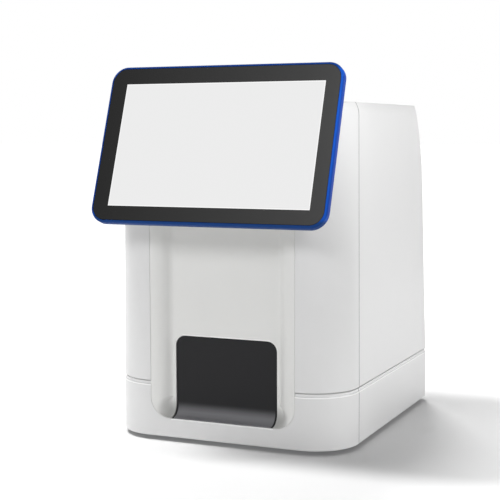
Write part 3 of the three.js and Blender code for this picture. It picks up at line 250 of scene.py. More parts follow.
BACK_LEAN, STRAIGHT_TOP, BEND_RADIUS = 17.5, SHELL_FOOT + 262, 180
BEND_STEPS, ROOF_STEPS = 8, 8
SEAM, SEAM_GAP = 51.2, 0.9
GLASS_CENTRE = Vector((0, -12.3, ROOF - 41.6))
TILT, STAND_OFF = radians(19.6), 21.5
PANEL_WIDTH, PANEL_LOW, PANEL_HIGH, PANEL_CORNER = 163.8, SHELL_FOOT + 19.6, SHELL_FOOT + 262, 21.5
WINDOW_CUT = (-20, 24)
NECK_HALF_WIDTH, NECK_REACH, NECK_LIFT, NECK_HALF_HEIGHT = 36, 45, 8, 12.5
WINDOW_EDGE, SEAM_EDGE, FOOT_EDGE = 0.5, 0.35, 1.4
SHARP, CREASE = radians(50), radians(32)
GLOSS_SPREAD = 0.1
TO_FRAME = Matrix.Translation((0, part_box("front_cover")[0].y, 0)) @ Matrix.Scale(MM, 4)
FRAME_SHIFT = TO_FRAME.translation.y / MM
DISPLAY_PLACE = Matrix.Translation(GLASS_CENTRE) @ Matrix.Rotation(-TILT, 4, "X")
body_of = {node: body for body, nodes in frame["record"]["behaviour"]["bodies"].items() for node in nodes}


def clamp(value, low, high):
    return max(low, min(high, value))


def around(middle, reach):
    """The low and the high side of what reaches equally far from its middle."""
    return middle - reach, middle + reach


def edges_of(geometry):
    return [part for part in geometry if isinstance(part, bmesh.types.BMEdge)]


def block(xs, ys, zs):
    """A box as a bmesh, from its low and high side in each direction."""
    bm = bmesh.new()
    sizes = [high - low for low, high in (xs, ys, zs)]
    middle = [(low + high) / 2 for low, high in (xs, ys, zs)]
    bmesh.ops.create_cube(bm, size=1)
    bmesh.ops.scale(bm, vec=sizes, verts=bm.verts)
    bmesh.ops.translate(bm, vec=middle, verts=bm.verts)
    return bm


def bevel(bm, edges, radius, segments):
    bmesh.ops.bevel(bm, geom=edges, offset=radius, segments=segments, profile=0.5, affect="EDGES",
                    material=-1, clamp_overlap=True)


def round_edges(bm, chosen, radius, segments):
    bevel(bm, [edge for edge in bm.edges if chosen(*(vert.co for vert in edge.verts))], radius, segments)


def upright(a, b):
    return abs(a.x - b.x) < HAIR and abs(a.y - b.y) < HAIR


def along_depth(a, b):
    return abs(a.x - b.x) < HAIR and abs(a.z - b.z) < HAIR


def rounded_block(xs, ys, zs, radius, segments):
    """A box whose four edges from front to back are rounded."""
    bm = block(xs, ys, zs)
    round_edges(bm, along_depth, radius, segments)
    return bm


def sliced(bm, place, normal, **cleared):
    """Cuts a form along a plane, and gives what the operator gives."""
    whole = list(bm.verts) + list(bm.edges) + list(bm.faces)
    return bmesh.ops.bisect_plane(bm, geom=whole, dist=HAIR, plane_co=place, plane_no=normal, **cleared)


def as_object(name, bm, place=Matrix.Identity(4)):
    """Puts a bmesh, made in millimetres behind the front face, into the frame."""
    bmesh.ops.recalc_face_normals(bm, faces=bm.faces)
    bm.transform(TO_FRAME @ place)
    mesh = bpy.data.meshes.new(name)
    bm.to_mesh(mesh)
    bm.free()
    piece = bpy.data.objects.new(name, mesh)
    scene.collection.objects.link(piece)
    return piece


def settle(piece):
    """Makes what the modifiers give the piece's own mesh."""
    depsgraph = bpy.context.evaluated_depsgraph_get()
    old = piece.data
    piece.data = bpy.data.meshes.new_from_object(piece.evaluated_get(depsgraph))
    piece.data.name = piece.name
    piece.modifiers.clear()
    bpy.data.meshes.remove(old)


def combine(piece, tool, operation):
    """Cuts a tool out of a piece, or joins it on, and takes the tool away."""
    change = piece.modifiers.new("shape", "BOOLEAN")
    change.operation = operation
    change.solver = "EXACT"
    change.object = tool
    settle(piece)
    bpy.data.objects.remove(tool)


def carve(piece, form, place=Matrix.Identity(4)):
    """Cuts a form out of a piece."""
    combine(piece, as_object("tool", form, place), "DIFFERENCE")


def body_form(groove_depth):
    """The outer form of the whole body as a closed solid, with or without its groove."""
    half = BODY_WIDTH / 2
    bm = block(around(0, half), (0, BODY_DEPTH), (SHELL_FOOT, ROOF))
    round_edges(bm, lambda a, b: upright(a, b) and a.y < SEAM, FRONT_CORNER, segments=28)
    round_edges(bm, lambda a, b: upright(a, b) and a.y > BODY_DEPTH - HAIR, REAR_CORNER, segments=8)
    lean = atan2(BACK_LEAN, STRAIGHT_TOP - GROOVE_HIGH)
    bend_y = BODY_DEPTH - BACK_LEAN - BEND_RADIUS * cos(lean)
    bend_z = STRAIGHT_TOP - BEND_RADIUS * sin(lean)
    round_start = ROOF - ROOF_ROUND
    levels = [GROOVE_LOW + height * GROOVE_HEIGHT for height, _ in GROOVE_SHARES] + [STRAIGHT_TOP]
    levels += [STRAIGHT_TOP + (round_start - STRAIGHT_TOP) * n / BEND_STEPS for n in range(1, BEND_STEPS + 1)]
    levels += [round_start + ROOF_ROUND * n / ROOF_STEPS for n in range(1, ROOF_STEPS)]
    for level in levels:
        sliced(bm, (0, 0, level), (0, 0, 1))

    def groove_in(z):
        share = (z - GROOVE_LOW) / GROOVE_HEIGHT
        depths = [depth for height, depth in GROOVE_SHARES if abs(height - share) < HAIR]
        return groove_depth * depths[0] if depths else 0

    def corner_out(z):
        """The large front corners grow a little squarer towards the foot."""
        return FOOT_SQUARING * clamp((STRAIGHT_TOP - z) / (STRAIGHT_TOP - SHELL_FOOT), 0, 1)

    def side_in(z, inset):
        """The sides lean in a little, and more below the roof, most at the front."""
        taper = SIDE_TAPER * clamp((z - GROOVE_HIGH) / (round_start - GROOVE_HIGH), 0, 1)
        radius = (ROOF_ROUND**2 + inset**2) / (2 * inset)
        return taper + radius - sqrt(radius**2 - max(z - round_start, 0) ** 2)

    def back_in(z):
        """The back leans forward above the groove, and bends on towards the roof."""
        if z <= STRAIGHT_TOP:
            return BACK_LEAN * clamp((z - GROOVE_HIGH) / (STRAIGHT_TOP - GROOVE_HIGH), 0, 1)
        return BODY_DEPTH - bend_y - sqrt(BEND_RADIUS**2 - (z - bend_z) ** 2)

    for vert in bm.verts:
        x, y, z = vert.co
        at_back = y > BODY_DEPTH / 2
        radius = REAR_CORNER if at_back else FRONT_CORNER
        centre = Vector((clamp(x, radius - half, half - radius), clamp(y, radius, BODY_DEPTH - radius)))
        outward = (Vector((x, y)) - centre).normalized()
        drawn_in = groove_in(z) - (0 if at_back else abs(outward.x * outward.y) * corner_out(z))
        lean_in = copysign(1, x) * side_in(z, REAR_INSET) if at_back else outward.x * side_in(z, ROOF_INSET)
        vert.co.x = clamp(x - outward.x * drawn_in - lean_in, -half, half)
        vert.co.y -= outward.y * drawn_in + (back_in(z) if at_back else 0)

    behind_glass = Vector((0, cos(TILT), -sin(TILT)))
    slant = sliced(bm, GLASS_CENTRE + behind_glass * STAND_OFF, -behind_glass, clear_outer=True)
    brow = edges_of(slant["geom_cut"])
    bmesh.ops.contextual_create(bm, geom=brow)
    roof_line = [edge for edge in bm.edges if all(vert.co.z > ROOF - HAIR for vert in edge.verts)]
    brow_line = [edge for edge in brow if edge.is_valid and edge not in roof_line]
    bevel(bm, roof_line + brow_line, ROOF_SOFT, segments=3)
    return bm


def groove_ring():
    """What the shadow groove takes away: a flat ring round the body's waist."""
    reach = BODY_WIDTH
    ring = as_object("groove", block(around(0, reach), (-reach, 2 * reach), (GROOVE_LOW, GROOVE_HIGH)))
    carve(ring, body_form(GROOVE_DEPTH))
    return ring


def half_shell(name, seam_side):
    """One cover: the skin on one side of the seam, open below, given its wall and its half of the groove."""
    bm = body_form(0)
    under = [face for face in bm.faces if all(vert.co.z < SHELL_FOOT + HAIR for vert in face.verts)]
    bmesh.ops.delete(bm, geom=under, context="FACES")
    sliced(bm, (0, SEAM + seam_side * SEAM_GAP / 2, 0), (0, 1, 0),
           clear_outer=seam_side < 0, clear_inner=seam_side > 0)
    cover = as_object(name, bm)
    wall = cover.modifiers.new("wall", "SOLIDIFY")
    wall.thickness = SHELL_WALL * MM
    wall.offset = -1
    wall.use_even_offset = True
    settle(cover)
    combine(cover, groove_ring(), "DIFFERENCE")
    return cover


def mixed(tree, share, first, second):
    """A colour between two others, by a share from 0 to 1."""
    colours = {"Factor": share, "A": first, "B": second}
    return shader_node(tree, "Mix", colours, data_type="RGBA").outputs["Result"]


def noise(tree, place, pitch, detail):
    return shader_node(tree, "TexNoise", {"Vector": place, "Scale": pitch, "Detail": detail}).outputs["Fac"]


def moulded(name, colour, roughness, spread=0.015, patch=22, grain=0.02, pitch=900, sheen=0.5,
            stretch=(1, 1, 1), metal=0):
    """A finish with a slight cloudiness in its colour and gloss, and a fine grain. Pitches are per metre."""
    material = bpy.data.materials.new(name)
    material.use_nodes = True
    tree = material.node_tree
    object_place = shader_node(tree, "TexCoord").outputs["Object"]
    place = shader_node(tree, "Mapping", {"Vector": object_place, "Scale": stretch}).outputs[0]
    cloud = noise(tree, place, patch, detail=4)
    darker, paler = ([c * (1 + change) for c in painted(*colour)[:3]] + [1] for change in (-spread, spread))
    gloss_low, gloss_high = roughness * (1 - GLOSS_SPREAD), roughness * (1 + GLOSS_SPREAD)
    gloss = {"Value": cloud, "To Min": gloss_low, "To Max": gloss_high}
    relief = {"Height": noise(tree, place, pitch, detail=2), "Strength": 0.3, "Distance": grain * MM}
    shader = tree.nodes["Principled BSDF"]
    feed(shader.inputs["Metallic"], metal)
    feed(shader.inputs["Specular IOR Level"], sheen)
    feed(shader.inputs["Base Color"], mixed(tree, cloud, darker, paler))
    feed(shader.inputs["Roughness"], shader_node(tree, "MapRange", gloss).outputs[0])
    feed(shader.inputs["Normal"], shader_node(tree, "Bump", relief).outputs[0])
    return material


def object_place_of(material):
    return material.node_tree.nodes["Texture Coordinate"].outputs["Object"]


def place_of(material):
    """A point's place on the object, in millimetres in the frame: its X, Y and Z."""
    tree = material.node_tree
    size = {0: object_place_of(material), "Scale": 1 / MM}
    scaled = shader_node(tree, "VectorMath", size, operation="SCALE").outputs[0]
    return [Mask(socket) for socket in shader_node(tree, "SeparateXYZ", {0: scaled}).outputs]


def within(value, middle, reach):
    """1 where a value lies within reach of the middle, 0 elsewhere."""
    return abs(value - middle) < reach


def between(value, low, high):
    return within(value, (low + high) / 2, (high - low) / 2)


def tint_where(material, mask, colour):
    """Lays a second colour over a finish where the mask says so."""
    base = material.node_tree.nodes["Principled BSDF"].inputs["Base Color"]
    feed(base, mixed(material.node_tree, mask, base.links[0].from_socket, painted(*colour)))


def everywhere(co):
    return True


def soften(piece, radius, where=everywhere, segments=2):
    """Rounds the sharp edges of a finished mesh that lie where it says, in millimetres behind the front."""
    bm = bmesh.new()
    bm.from_mesh(piece.data)
    bm.transform(TO_FRAME.inverted())
    sharp = [edge for edge in bm.edges if len(edge.link_faces) == 2 and edge.calc_face_angle() > SHARP
             and all(where(vert.co) for vert in edge.verts)]
    bevel(bm, sharp, radius, segments)
    bm.transform(TO_FRAME)
    bm.to_mesh(piece.data)
    bm.free()


def dress(piece, material, body):
    """Gives a finished mesh its material, its smooth shading and its place in the moving model."""
    piece.data.materials.clear()
    piece.data.materials.append(material)
    piece.data.polygons.foreach_set("use_smooth", [True] * len(piece.data.polygons))
    piece.data.set_sharp_from_angle(angle=CREASE)
    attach(piece, body)


def finish_piece(piece, node, material):
    """Finishes a piece that stands for a CAD node, on that node's body."""
    dress(piece, material, body_of[node])
    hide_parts(node)
    shading = piece.modifiers.new("even_shading", "WEIGHTED_NORMAL")
    shading.keep_sharp = True
    shading.weight = 50


shell_grey = moulded("shell_grey", (225, 225, 225), 0.42, sheen=0.4)
shell_x, shell_y, shell_z = place_of(shell_grey)
# Painted shade: the groove's deep slot and the seam gap are darkened where shade falls in them.
slot_painted_shade = between(shell_z, *(GROOVE_LOW + share * GROOVE_HEIGHT for share in GROOVE_SLOT))
seam_painted_shade = within(shell_y, SEAM + FRAME_SHIFT, SEAM_GAP / 2 + 0.2)
# Painted highlights: a light line along the groove's lower lip and along the foot's lip under the drawer.
groove_lip_painted_highlight = within(shell_z, GROOVE_LOW - 0.4, 0.6)
in_face_middle = within(shell_x, 0, 58) * within(shell_y, FRAME_SHIFT, 2)
drawer_lip_painted_highlight = within(shell_z, PANEL_LOW - 0.5, 0.6) * in_face_middle
tint_where(shell_grey, slot_painted_shade, (205, 205, 205))
tint_where(shell_grey, seam_painted_shade, (140, 140, 140))
tint_where(shell_grey, groove_lip_painted_highlight, (250, 250, 250))
tint_where(shell_grey, drawer_lip_painted_highlight, (255, 255, 255))

front_cover = half_shell("cover_front", -1)
window = rounded_block(around(0, PANEL_WIDTH / 2), WINDOW_CUT, (PANEL_LOW, PANEL_HIGH), PANEL_CORNER, 12)
carve(front_cover, window)
neck = block(around(0, NECK_HALF_WIDTH), (0, NECK_REACH), around(NECK_LIFT, NECK_HALF_HEIGHT))
carve(front_cover, neck, DISPLAY_PLACE)
flat_half = BODY_WIDTH / 2 - FRONT_CORNER
soften(front_cover, WINDOW_EDGE, lambda co: co.y < 10 * HAIR and abs(co.x) < flat_half + 1)
soften(front_cover, SEAM_EDGE, lambda co: co.y > SEAM - SEAM_GAP)
soften(front_cover, FOOT_EDGE, lambda co: co.z < SHELL_FOOT + HAIR, segments=3)
finish_piece(front_cover, "front_cover", shell_grey)


# Rear cover
# The second shell of the same light grey plastic, from the seam to the back. A bay with a lip all round is
# moulded into its back for the rear panel.
BAY_WIDTH, BAY_LOW, BAY_HIGH, BAY_WALL, BAY_LIP = 164, 24, 190, 2.5, 8
BAY_FACE, PANEL_SHEET, LIP_WALL = 286, 1.5, 2
BAY_CORNER, BAY_EDGE = 1.5, 0.8
SLIDE_FIT = 0.3
BAY_HALF = BAY_WIDTH / 2
PANEL_FRONT = BAY_FACE - PANEL_SHEET - SLIDE_FIT
LIP_FRONT = PANEL_FRONT - LIP_WALL


def join(piece, form):
    """Grows a form onto a piece."""
    combine(piece, as_object("tool", form), "UNION")


rear_cover = half_shell("cover_rear", 1)
bay_block = block(around(0, BAY_HALF + BAY_WALL), (LIP_FRONT, BODY_DEPTH - 1),
                  (BAY_LOW - BAY_WALL, BAY_HIGH + BAY_WALL))
for vert in bay_block.verts:
    if vert.co.z > BAY_HIGH and vert.co.y > BAY_FACE:
        vert.co.y -= BACK_LEAN * (vert.co.z - GROOVE_HIGH) / (STRAIGHT_TOP - GROOVE_HIGH) - 0.5
join(rear_cover, bay_block)
bay_space = rounded_block(around(0, BAY_HALF), (PANEL_FRONT, BODY_DEPTH + 20), (BAY_LOW, BAY_HIGH),
                          BAY_CORNER, 4)
carve(rear_cover, bay_space)
lip_window = block(around(0, BAY_HALF - BAY_LIP), (LIP_FRONT - 20, BODY_DEPTH),
                   (BAY_LOW + BAY_LIP, BAY_HIGH - BAY_LIP))
carve(rear_cover, lip_window)
soften(rear_cover, SEAM_EDGE, lambda co: co.y < SEAM + SEAM_GAP)
soften(rear_cover, FOOT_EDGE, lambda co: co.z < SHELL_FOOT + HAIR, segments=3)
soften(rear_cover, BAY_EDGE,
       lambda co: co.y > BAY_FACE + 1 and abs(co.x) < BAY_HALF + 1 and BAY_LOW - 1 < co.z < BAY_HIGH + 1)
finish_piece(rear_cover, "rear_cover", shell_grey)


# Recess panel
# A separate moulding in a slightly warmer grey that fills the window of the front cover. A cove runs down
# both sides and over the top, and the foot sweeps out in a quarter round. The drawer passes through it below.
RECESS_DEPTH, COVE_WIDTH, COVE_TURN, COVE_STEPS, SCOOP_LIP, PANEL_WALL = 12, 23.2, 0.7, 20, 1, 3
PANEL_EDGE, PANEL_GAP, PASSAGE_EDGE = 0.5, 0.15, 0.6
DRAWER_WIDTH, DRAWER_TOP, DRAWER_CORNER, DRAWER_GAP = 114.8, SHELL_FOOT + 106.5, 10.5, 0.5
OUTLINE_STEPS = 14


def verts_of(geometry):
    return [part for part in geometry if isinstance(part, bmesh.types.BMVert)]


def upright_face(width, height, radius, depth):
    """One face with round corners that looks to the front, as a bmesh."""
    bm = bmesh.new()
    bmesh.ops.create_grid(bm, x_segments=1, y_segments=1, size=1 / 2)
    bmesh.ops.scale(bm, vec=(width, height, 1), verts=bm.verts)
    bmesh.ops.rotate(bm, matrix=Matrix.Rotation(pi / 2, 3, "X"), verts=bm.verts)
    bmesh.ops.translate(bm, vec=(0, depth, 0), verts=bm.verts)
    bmesh.ops.bevel(bm, geom=list(bm.verts), offset=radius, segments=OUTLINE_STEPS, profile=0.5,
                    affect="VERTICES", material=-1)
    return bm


def ringed(width, height, radius, steps):
    """A solid that follows a rounded outline round. Each step says how far inside the outline the next ring
    lies and how deep, alike all round or by the direction outwards. It closes on itself or with end faces."""
    bm = upright_face(width, height, radius, steps[0][1])
    reach = Vector((width / 2 - radius, height / 2 - radius))
    first = bm.faces[:]
    edges = list(bm.edges)
    for step in steps[1:]:
        made = bmesh.ops.extrude_edge_only(bm, edges=edges)["geom"]
        edges = [edge for edge in edges_of(made) if edge.is_boundary]
        for vert in verts_of(made):
            corner = Vector((clamp(vert.co.x, -reach.x, reach.x), clamp(vert.co.z, -reach.y, reach.y)))
            outward = (Vector((vert.co.x, vert.co.z)) - corner).normalized()
            inside, depth = step(outward) if callable(step) else step
            past_centre = min(radius - inside, 0)
            flat = corner + outward * max(radius - inside, 0)
            flat += past_centre * Vector((copysign(1, corner.x), copysign(1, corner.y)))
            vert.co = (flat.x, depth, flat.y)
    if steps[0] == steps[-1]:
        bmesh.ops.delete(bm, geom=first, context="FACES_ONLY")
    else:
        bmesh.ops.contextual_create(bm, geom=edges)
    bmesh.ops.remove_doubles(bm, verts=bm.verts, dist=HAIR)
    return bm


def quarter(radius, steps):
    """Rounds an outer edge over: from its side to its front face."""
    turn = [pi / 2 * n / steps for n in range(steps + 1)]
    return [(radius * (1 - cos(t)), radius - radius * sin(t)) for t in turn]


def recess_edge(share):
    """A step down into the recess: how far inside the panel's edge, and how deep."""
    swing = 2 * atan2(RECESS_DEPTH, COVE_WIDTH)
    part, along = (COVE_TURN, share) if share < COVE_TURN else (1 - COVE_TURN, 1 - share)
    radius, angle = part * COVE_WIDTH / sin(swing), swing * along / part
    turn = (radius * sin(angle), radius * (1 - cos(angle)))
    cove = turn if share < COVE_TURN else (COVE_WIDTH - turn[0], RECESS_DEPTH - turn[1])
    scoop = (RECESS_DEPTH * (1 - cos(pi / 2 * share)), RECESS_DEPTH * sin(pi / 2 * share))

    def step(outward):
        foot = outward.y**2 if outward.y < 0 else 0
        return SCOOP_LIP + cove[0] + (scoop[0] - cove[0]) * foot, cove[1] + (scoop[1] - cove[1]) * foot
    return step


def ramp(value, start, end):
    """Goes smoothly from 0 at start to 1 at end."""
    low, high = sorted((start, end))
    at_low, at_high = (0, 1) if start < end else (1, 0)
    reach = {"Value": value, "From Min": low, "From Max": high, "To Min": at_low, "To Max": at_high}
    tree = value.socket.id_data
    return Mask(shader_node(tree, "MapRange", reach, interpolation_type="SMOOTHSTEP").outputs[0])


def distance(across, along):
    """How far a place lies from where both values are 0."""
    return (across**2 + along**2).step("SQRT")


panel_steps = [(0, RECESS_DEPTH + PANEL_WALL), *quarter(PANEL_EDGE, 2)]
panel_steps += [recess_edge(n / COVE_STEPS) for n in range(COVE_STEPS + 1)]
panel_form = ringed(PANEL_WIDTH - 2 * PANEL_GAP, PANEL_HIGH - PANEL_LOW - 2 * PANEL_GAP,
                    PANEL_CORNER - PANEL_GAP, panel_steps)
bmesh.ops.translate(panel_form, vec=(0, 0, (PANEL_HIGH + PANEL_LOW) / 2), verts=panel_form.verts)
recess_panel = as_object("panel_recess", panel_form)
passage = block(around(0, DRAWER_WIDTH / 2 + DRAWER_GAP), (-20, 35),
                (PANEL_LOW - 20, DRAWER_TOP + DRAWER_GAP))
round_edges(passage, lambda a, b: along_depth(a, b) and a.z > PANEL_LOW,
            DRAWER_CORNER + DRAWER_GAP, segments=10)
carve(recess_panel, passage)
soften(recess_panel, PASSAGE_EDGE,
       lambda co: co.y < RECESS_DEPTH + HAIR and abs(co.x) < DRAWER_WIDTH / 2 + 1
       and PANEL_LOW + 2 < co.z < DRAWER_TOP + 1, segments=3)

panel_grey = moulded("panel_grey", (230, 230, 228), 0.45, sheen=0.4)
panel_x, _, panel_z = place_of(panel_grey)
# Painted shade darkens the cove corners beside the drawer's foot.
to_corner = distance(abs(panel_x) - (DRAWER_WIDTH / 2 + 3), panel_z - (PANEL_LOW + 7))
above_flat = within(panel_x, 0, DRAWER_WIDTH / 2 - DRAWER_CORNER + 3)
# Painted highlight: a light line along the passage's top edge over the drawer.
painted_highlight_over_drawer = within(panel_z, DRAWER_TOP + 1.2, 0.6) * above_flat
tint_where(panel_grey, ramp(to_corner, 17, 0) * 0.85, (160, 160, 158))
tint_where(panel_grey, painted_highlight_over_drawer, (250, 250, 248))
finish_piece(recess_panel, "recess_panel", panel_grey)


# Drawer front
# A black satin moulding, a flat plate whose foot sweeps forward in a quarter round and thins out to the
# panel's lip. It is screwed to the tray's front wall.
DRAWER_INSET, DRAWER_WALL, DRAWER_EDGE = 0.8, 3, 0.5
SWEEP_STEPS = 20
SWEEP_CENTRE = PANEL_LOW + SLIDE_FIT + SCOOP_LIP + RECESS_DEPTH
drawer_form = bmesh.new()
top_corners = [(side * DRAWER_WIDTH / 2, RECESS_DEPTH + DRAWER_INSET, DRAWER_TOP) for side in (-1, 1)]
top_edge = drawer_form.edges.new([drawer_form.verts.new(corner) for corner in top_corners])
plate = bmesh.ops.extrude_edge_only(drawer_form, edges=[top_edge])["geom"]
bmesh.ops.translate(drawer_form, vec=(0, 0, SWEEP_CENTRE - DRAWER_TOP), verts=verts_of(plate))
low_edge = [edge for edge in edges_of(plate)
            if all(abs(vert.co.z - SWEEP_CENTRE) < HAIR for vert in edge.verts)]
bmesh.ops.spin(drawer_form, geom=low_edge + list(low_edge[0].verts), cent=(0, DRAWER_INSET, SWEEP_CENTRE),
               axis=(1, 0, 0), angle=-pi / 2, steps=SWEEP_STEPS)
bmesh.ops.remove_doubles(drawer_form, verts=drawer_form.verts, dist=HAIR)
inner_side = bmesh.ops.extrude_face_region(drawer_form, geom=drawer_form.faces[:])["geom"]
for vert in verts_of(inner_side):
    if vert.co.z >= SWEEP_CENTRE - HAIR:
        vert.co.y += DRAWER_WALL
    else:
        vert.co.y = DRAWER_INSET + (vert.co.y - DRAWER_INSET) * (RECESS_DEPTH + DRAWER_WALL) / RECESS_DEPTH
        vert.co.z = SWEEP_CENTRE + (vert.co.z - SWEEP_CENTRE) * (RECESS_DEPTH + SCOOP_LIP) / RECESS_DEPTH
round_edges(drawer_form, lambda a, b: along_depth(a, b) and abs(a.z - DRAWER_TOP) < HAIR,
            DRAWER_CORNER, segments=10)
drawer_front = as_object("drawer_face", drawer_form)
soft_edges = drawer_front.modifiers.new("soft_edges", "BEVEL")
soft_edges.width = DRAWER_EDGE * MM
soft_edges.segments = 3
soft_edges.limit_method = "ANGLE"
soft_edges.angle_limit = SHARP
settle(drawer_front)

drawer_black = moulded("drawer_black", (27, 27, 29), 0.42, sheen=0.2, spread=0.05)
drawer_tree = drawer_black.node_tree
drawer_x, _, drawer_z = place_of(drawer_black)
# Painted sheen: the flare grows lighter towards its foot, in streaks, as light from above would catch it. Its
# side edges stay black.
sheen_streak_place = {"Vector": object_place_of(drawer_black), "Scale": (0.3, 3, 6)}
sheen_streaks = noise(drawer_tree, shader_node(drawer_tree, "Mapping", sheen_streak_place).outputs[0], 60, detail=3)
painted_flare_sheen = ramp(drawer_z, SWEEP_CENTRE + 4, SWEEP_CENTRE - 9) * (Mask(sheen_streaks) * 0.3 + 0.85)
off_edges = ramp(abs(drawer_x), DRAWER_WIDTH / 2 - 1.5, DRAWER_WIDTH / 2 - 2.2)
tint_where(drawer_black, painted_flare_sheen * off_edges, (124, 124, 127))
finish_piece(drawer_front, "drawer_front", drawer_black)


# Display rim and glass
# A glossy blue band holds a flat pane with a black border printed on its inner face. The lit picture behind
# the pane is blank.
GLASS_WIDTH, GLASS_HEIGHT, GLASS_WALL, GLASS_CORNER, GLASS_EDGE = 254, 164.6, 1.8, 14.5, 0.4
RIM_WIDTH, RIM_ROUND, RIM_SIDE, RIM_DEPTH, RIM_LEDGE = 3, 2.6, 2.9, 8, 6
RIM_SEAT, RIM_BACK = RIM_WIDTH - SLIDE_FIT, RIM_DEPTH - RIM_SIDE
RIM_TOP_SHADE, RIM_FOOT_SHADE = (386, 390), (243, 238)
RIM_LEFT_SHADE, RIM_RIGHT_SHADE = (-126, -128), (127.6, 128.8)
LIT_WIDTH, LIT_HEIGHT, LIT_DROP, LIT_EDGE = 222, 132.5, 0.5, 0.9
PANE_PLACE = DISPLAY_PLACE @ Matrix.Translation((-1, 0, 0.5))
rim_steps = [(RIM_BACK, RIM_DEPTH), (0, RIM_SIDE), *quarter(RIM_ROUND, 6), (RIM_SEAT - 0.15, 0),
             (RIM_SEAT, 0.15), (RIM_SEAT, GLASS_WALL + SLIDE_FIT),
             (RIM_WIDTH + RIM_LEDGE, GLASS_WALL + SLIDE_FIT), (RIM_WIDTH + RIM_LEDGE, RIM_DEPTH),
             (RIM_BACK, RIM_DEPTH)]
rim_form = ringed(GLASS_WIDTH + 2 * RIM_WIDTH, GLASS_HEIGHT + 2 * RIM_WIDTH, GLASS_CORNER + RIM_WIDTH,
                  rim_steps)
rim = as_object("rim_band", rim_form, PANE_PLACE)
rim_blue = moulded("rim_blue", (26, 82, 182), 0.5, spread=0.03, grain=0.004, sheen=0.1)
rim_x, _, rim_z = place_of(rim_blue)
# Painted shade: the rim's top and left bands, its right side and its foot are darkened as the light falls on
# them.
shaded_top_and_left = ramp(rim_z, *RIM_TOP_SHADE) | ramp(rim_x, *RIM_LEFT_SHADE)
tint_where(rim_blue, shaded_top_and_left * 0.6, (12, 40, 92))
tint_where(rim_blue, ramp(rim_x, *RIM_RIGHT_SHADE), (18, 62, 150))
tint_where(rim_blue, ramp(rim_z, *RIM_FOOT_SHADE), (24, 62, 124))
finish_piece(rim, "display_rim", rim_blue)


def pane_finish():
    """A black border, lighter to the right as a painted reflection, round a lit window with a brighter edge.
    """
    material = bpy.data.materials.new("screen_glass")
    material.use_nodes = True
    tree = material.node_tree
    own_place = {"Vector": shader_node(tree, "TexCoord").outputs["Object"],
                 "Location": TO_FRAME @ GLASS_CENTRE, "Rotation": (-TILT, 0, 0)}
    mapping = shader_node(tree, "Mapping", own_place, vector_type="TEXTURE").outputs[0]
    across, behind, up = (Mask(socket) for socket in shader_node(tree, "SeparateXYZ", {0: mapping}).outputs)
    on_face = behind < GLASS_WALL / 2 * MM
    above_middle = up + LIT_DROP * MM

    def lit_part(margin):
        inside_x = abs(across) < (LIT_WIDTH / 2 - margin) * MM
        inside_z = abs(above_middle) < (LIT_HEIGHT / 2 - margin) * MM
        return inside_x * inside_z * on_face

    window = lit_part(0)
    # Painted reflection: the border lightens from left to right.
    span = {"Value": across, "From Min": -GLASS_WIDTH / 2 * MM, "From Max": GLASS_WIDTH / 2 * MM}
    share = shader_node(tree, "MapRange", span).outputs[0]
    border = mixed(tree, share, painted(14, 14, 14), painted(60, 60, 60))
    shader = tree.nodes["Principled BSDF"]
    feed(shader.inputs["Roughness"], 0.12)
    feed(shader.inputs["Specular IOR Level"], 0.25)
    feed(shader.inputs["Emission Color"], WHITE)
    feed(shader.inputs["Emission Strength"], window * 0.97 - lit_part(LIT_EDGE) * 0.15)
    feed(shader.inputs["Base Color"], mixed(tree, window, border, painted(8, 8, 8)))
    return material


pane_steps = [(0.3, GLASS_WALL), (0, GLASS_WALL - 0.3), *quarter(GLASS_EDGE, 2)]
pane = as_object("glass_pane", ringed(GLASS_WIDTH, GLASS_HEIGHT, GLASS_CORNER, pane_steps), PANE_PLACE)
finish_piece(pane, "display_glass", pane_finish())


# Base plate and feet
# A zinc plated steel sheet closes the body from below, and its pressed posts carry the circuit boards. Four
# ribbed rubber feet are screwed to it from underneath.
FOOT_SIDE, FOOT_FRONT, FOOT_REAR = 99, 38, 268
UPRIGHT = Matrix.Identity(3)


def merged_copy(node):
    """A CAD piece's own form with its loose facets merged, to be worked on."""
    bm = bmesh.new()
    bm.from_mesh(frame["nodes"][node].data)
    bmesh.ops.remove_doubles(bm, verts=bm.verts, dist=HAIR * MM)
    bmesh.ops.dissolve_limit(bm, angle_limit=radians(1), verts=bm.verts, edges=bm.edges)
    bm.transform(TO_FRAME.inverted())
    return as_object(f"finished_{node}", bm)


def finish_copy(node, radius, material):
    """A CAD piece whose form is right: its sharp edges are rounded and it gets its finish."""
    piece = merged_copy(node)
    soften(piece, radius)
    finish_piece(piece, node, material)


def turned(outline, steps, place=(0, 0, 0), lie=UPRIGHT):
    """A form turned from its outline of radii and heights, then laid and set in its place."""
    bm = bmesh.new()
    points = [bm.verts.new((radius, 0, height)) for radius, height in outline]
    line = [bm.edges.new(pair) for pair in zip(points, points[1:])]
    bmesh.ops.spin(bm, geom=points + line, cent=(0, 0, 0), axis=(0, 0, 1), angle=2 * pi, steps=steps,
                   use_merge=True)
    bmesh.ops.remove_doubles(bm, verts=bm.verts, dist=HAIR)
    bmesh.ops.rotate(bm, matrix=lie, verts=bm.verts)
    bmesh.ops.translate(bm, vec=place, verts=bm.verts)
    return bm


def cells_of(material, pitch):
    """A value that differs from cell to cell, such as the crystals of a zinc coat. The pitch is per metre."""
    spread = {"Vector": object_place_of(material), "Scale": pitch}
    return Mask(shader_node(material.node_tree, "TexVoronoi", spread).outputs["Color"])


zinc_plate = moulded("zinc_plate", (176, 178, 181), 0.38, metal=1, spread=0.05, patch=60)
tint_where(zinc_plate, cells_of(zinc_plate, 220) * 0.5, (150, 153, 158))
finish_copy("base_plate", 0.3, zinc_plate)

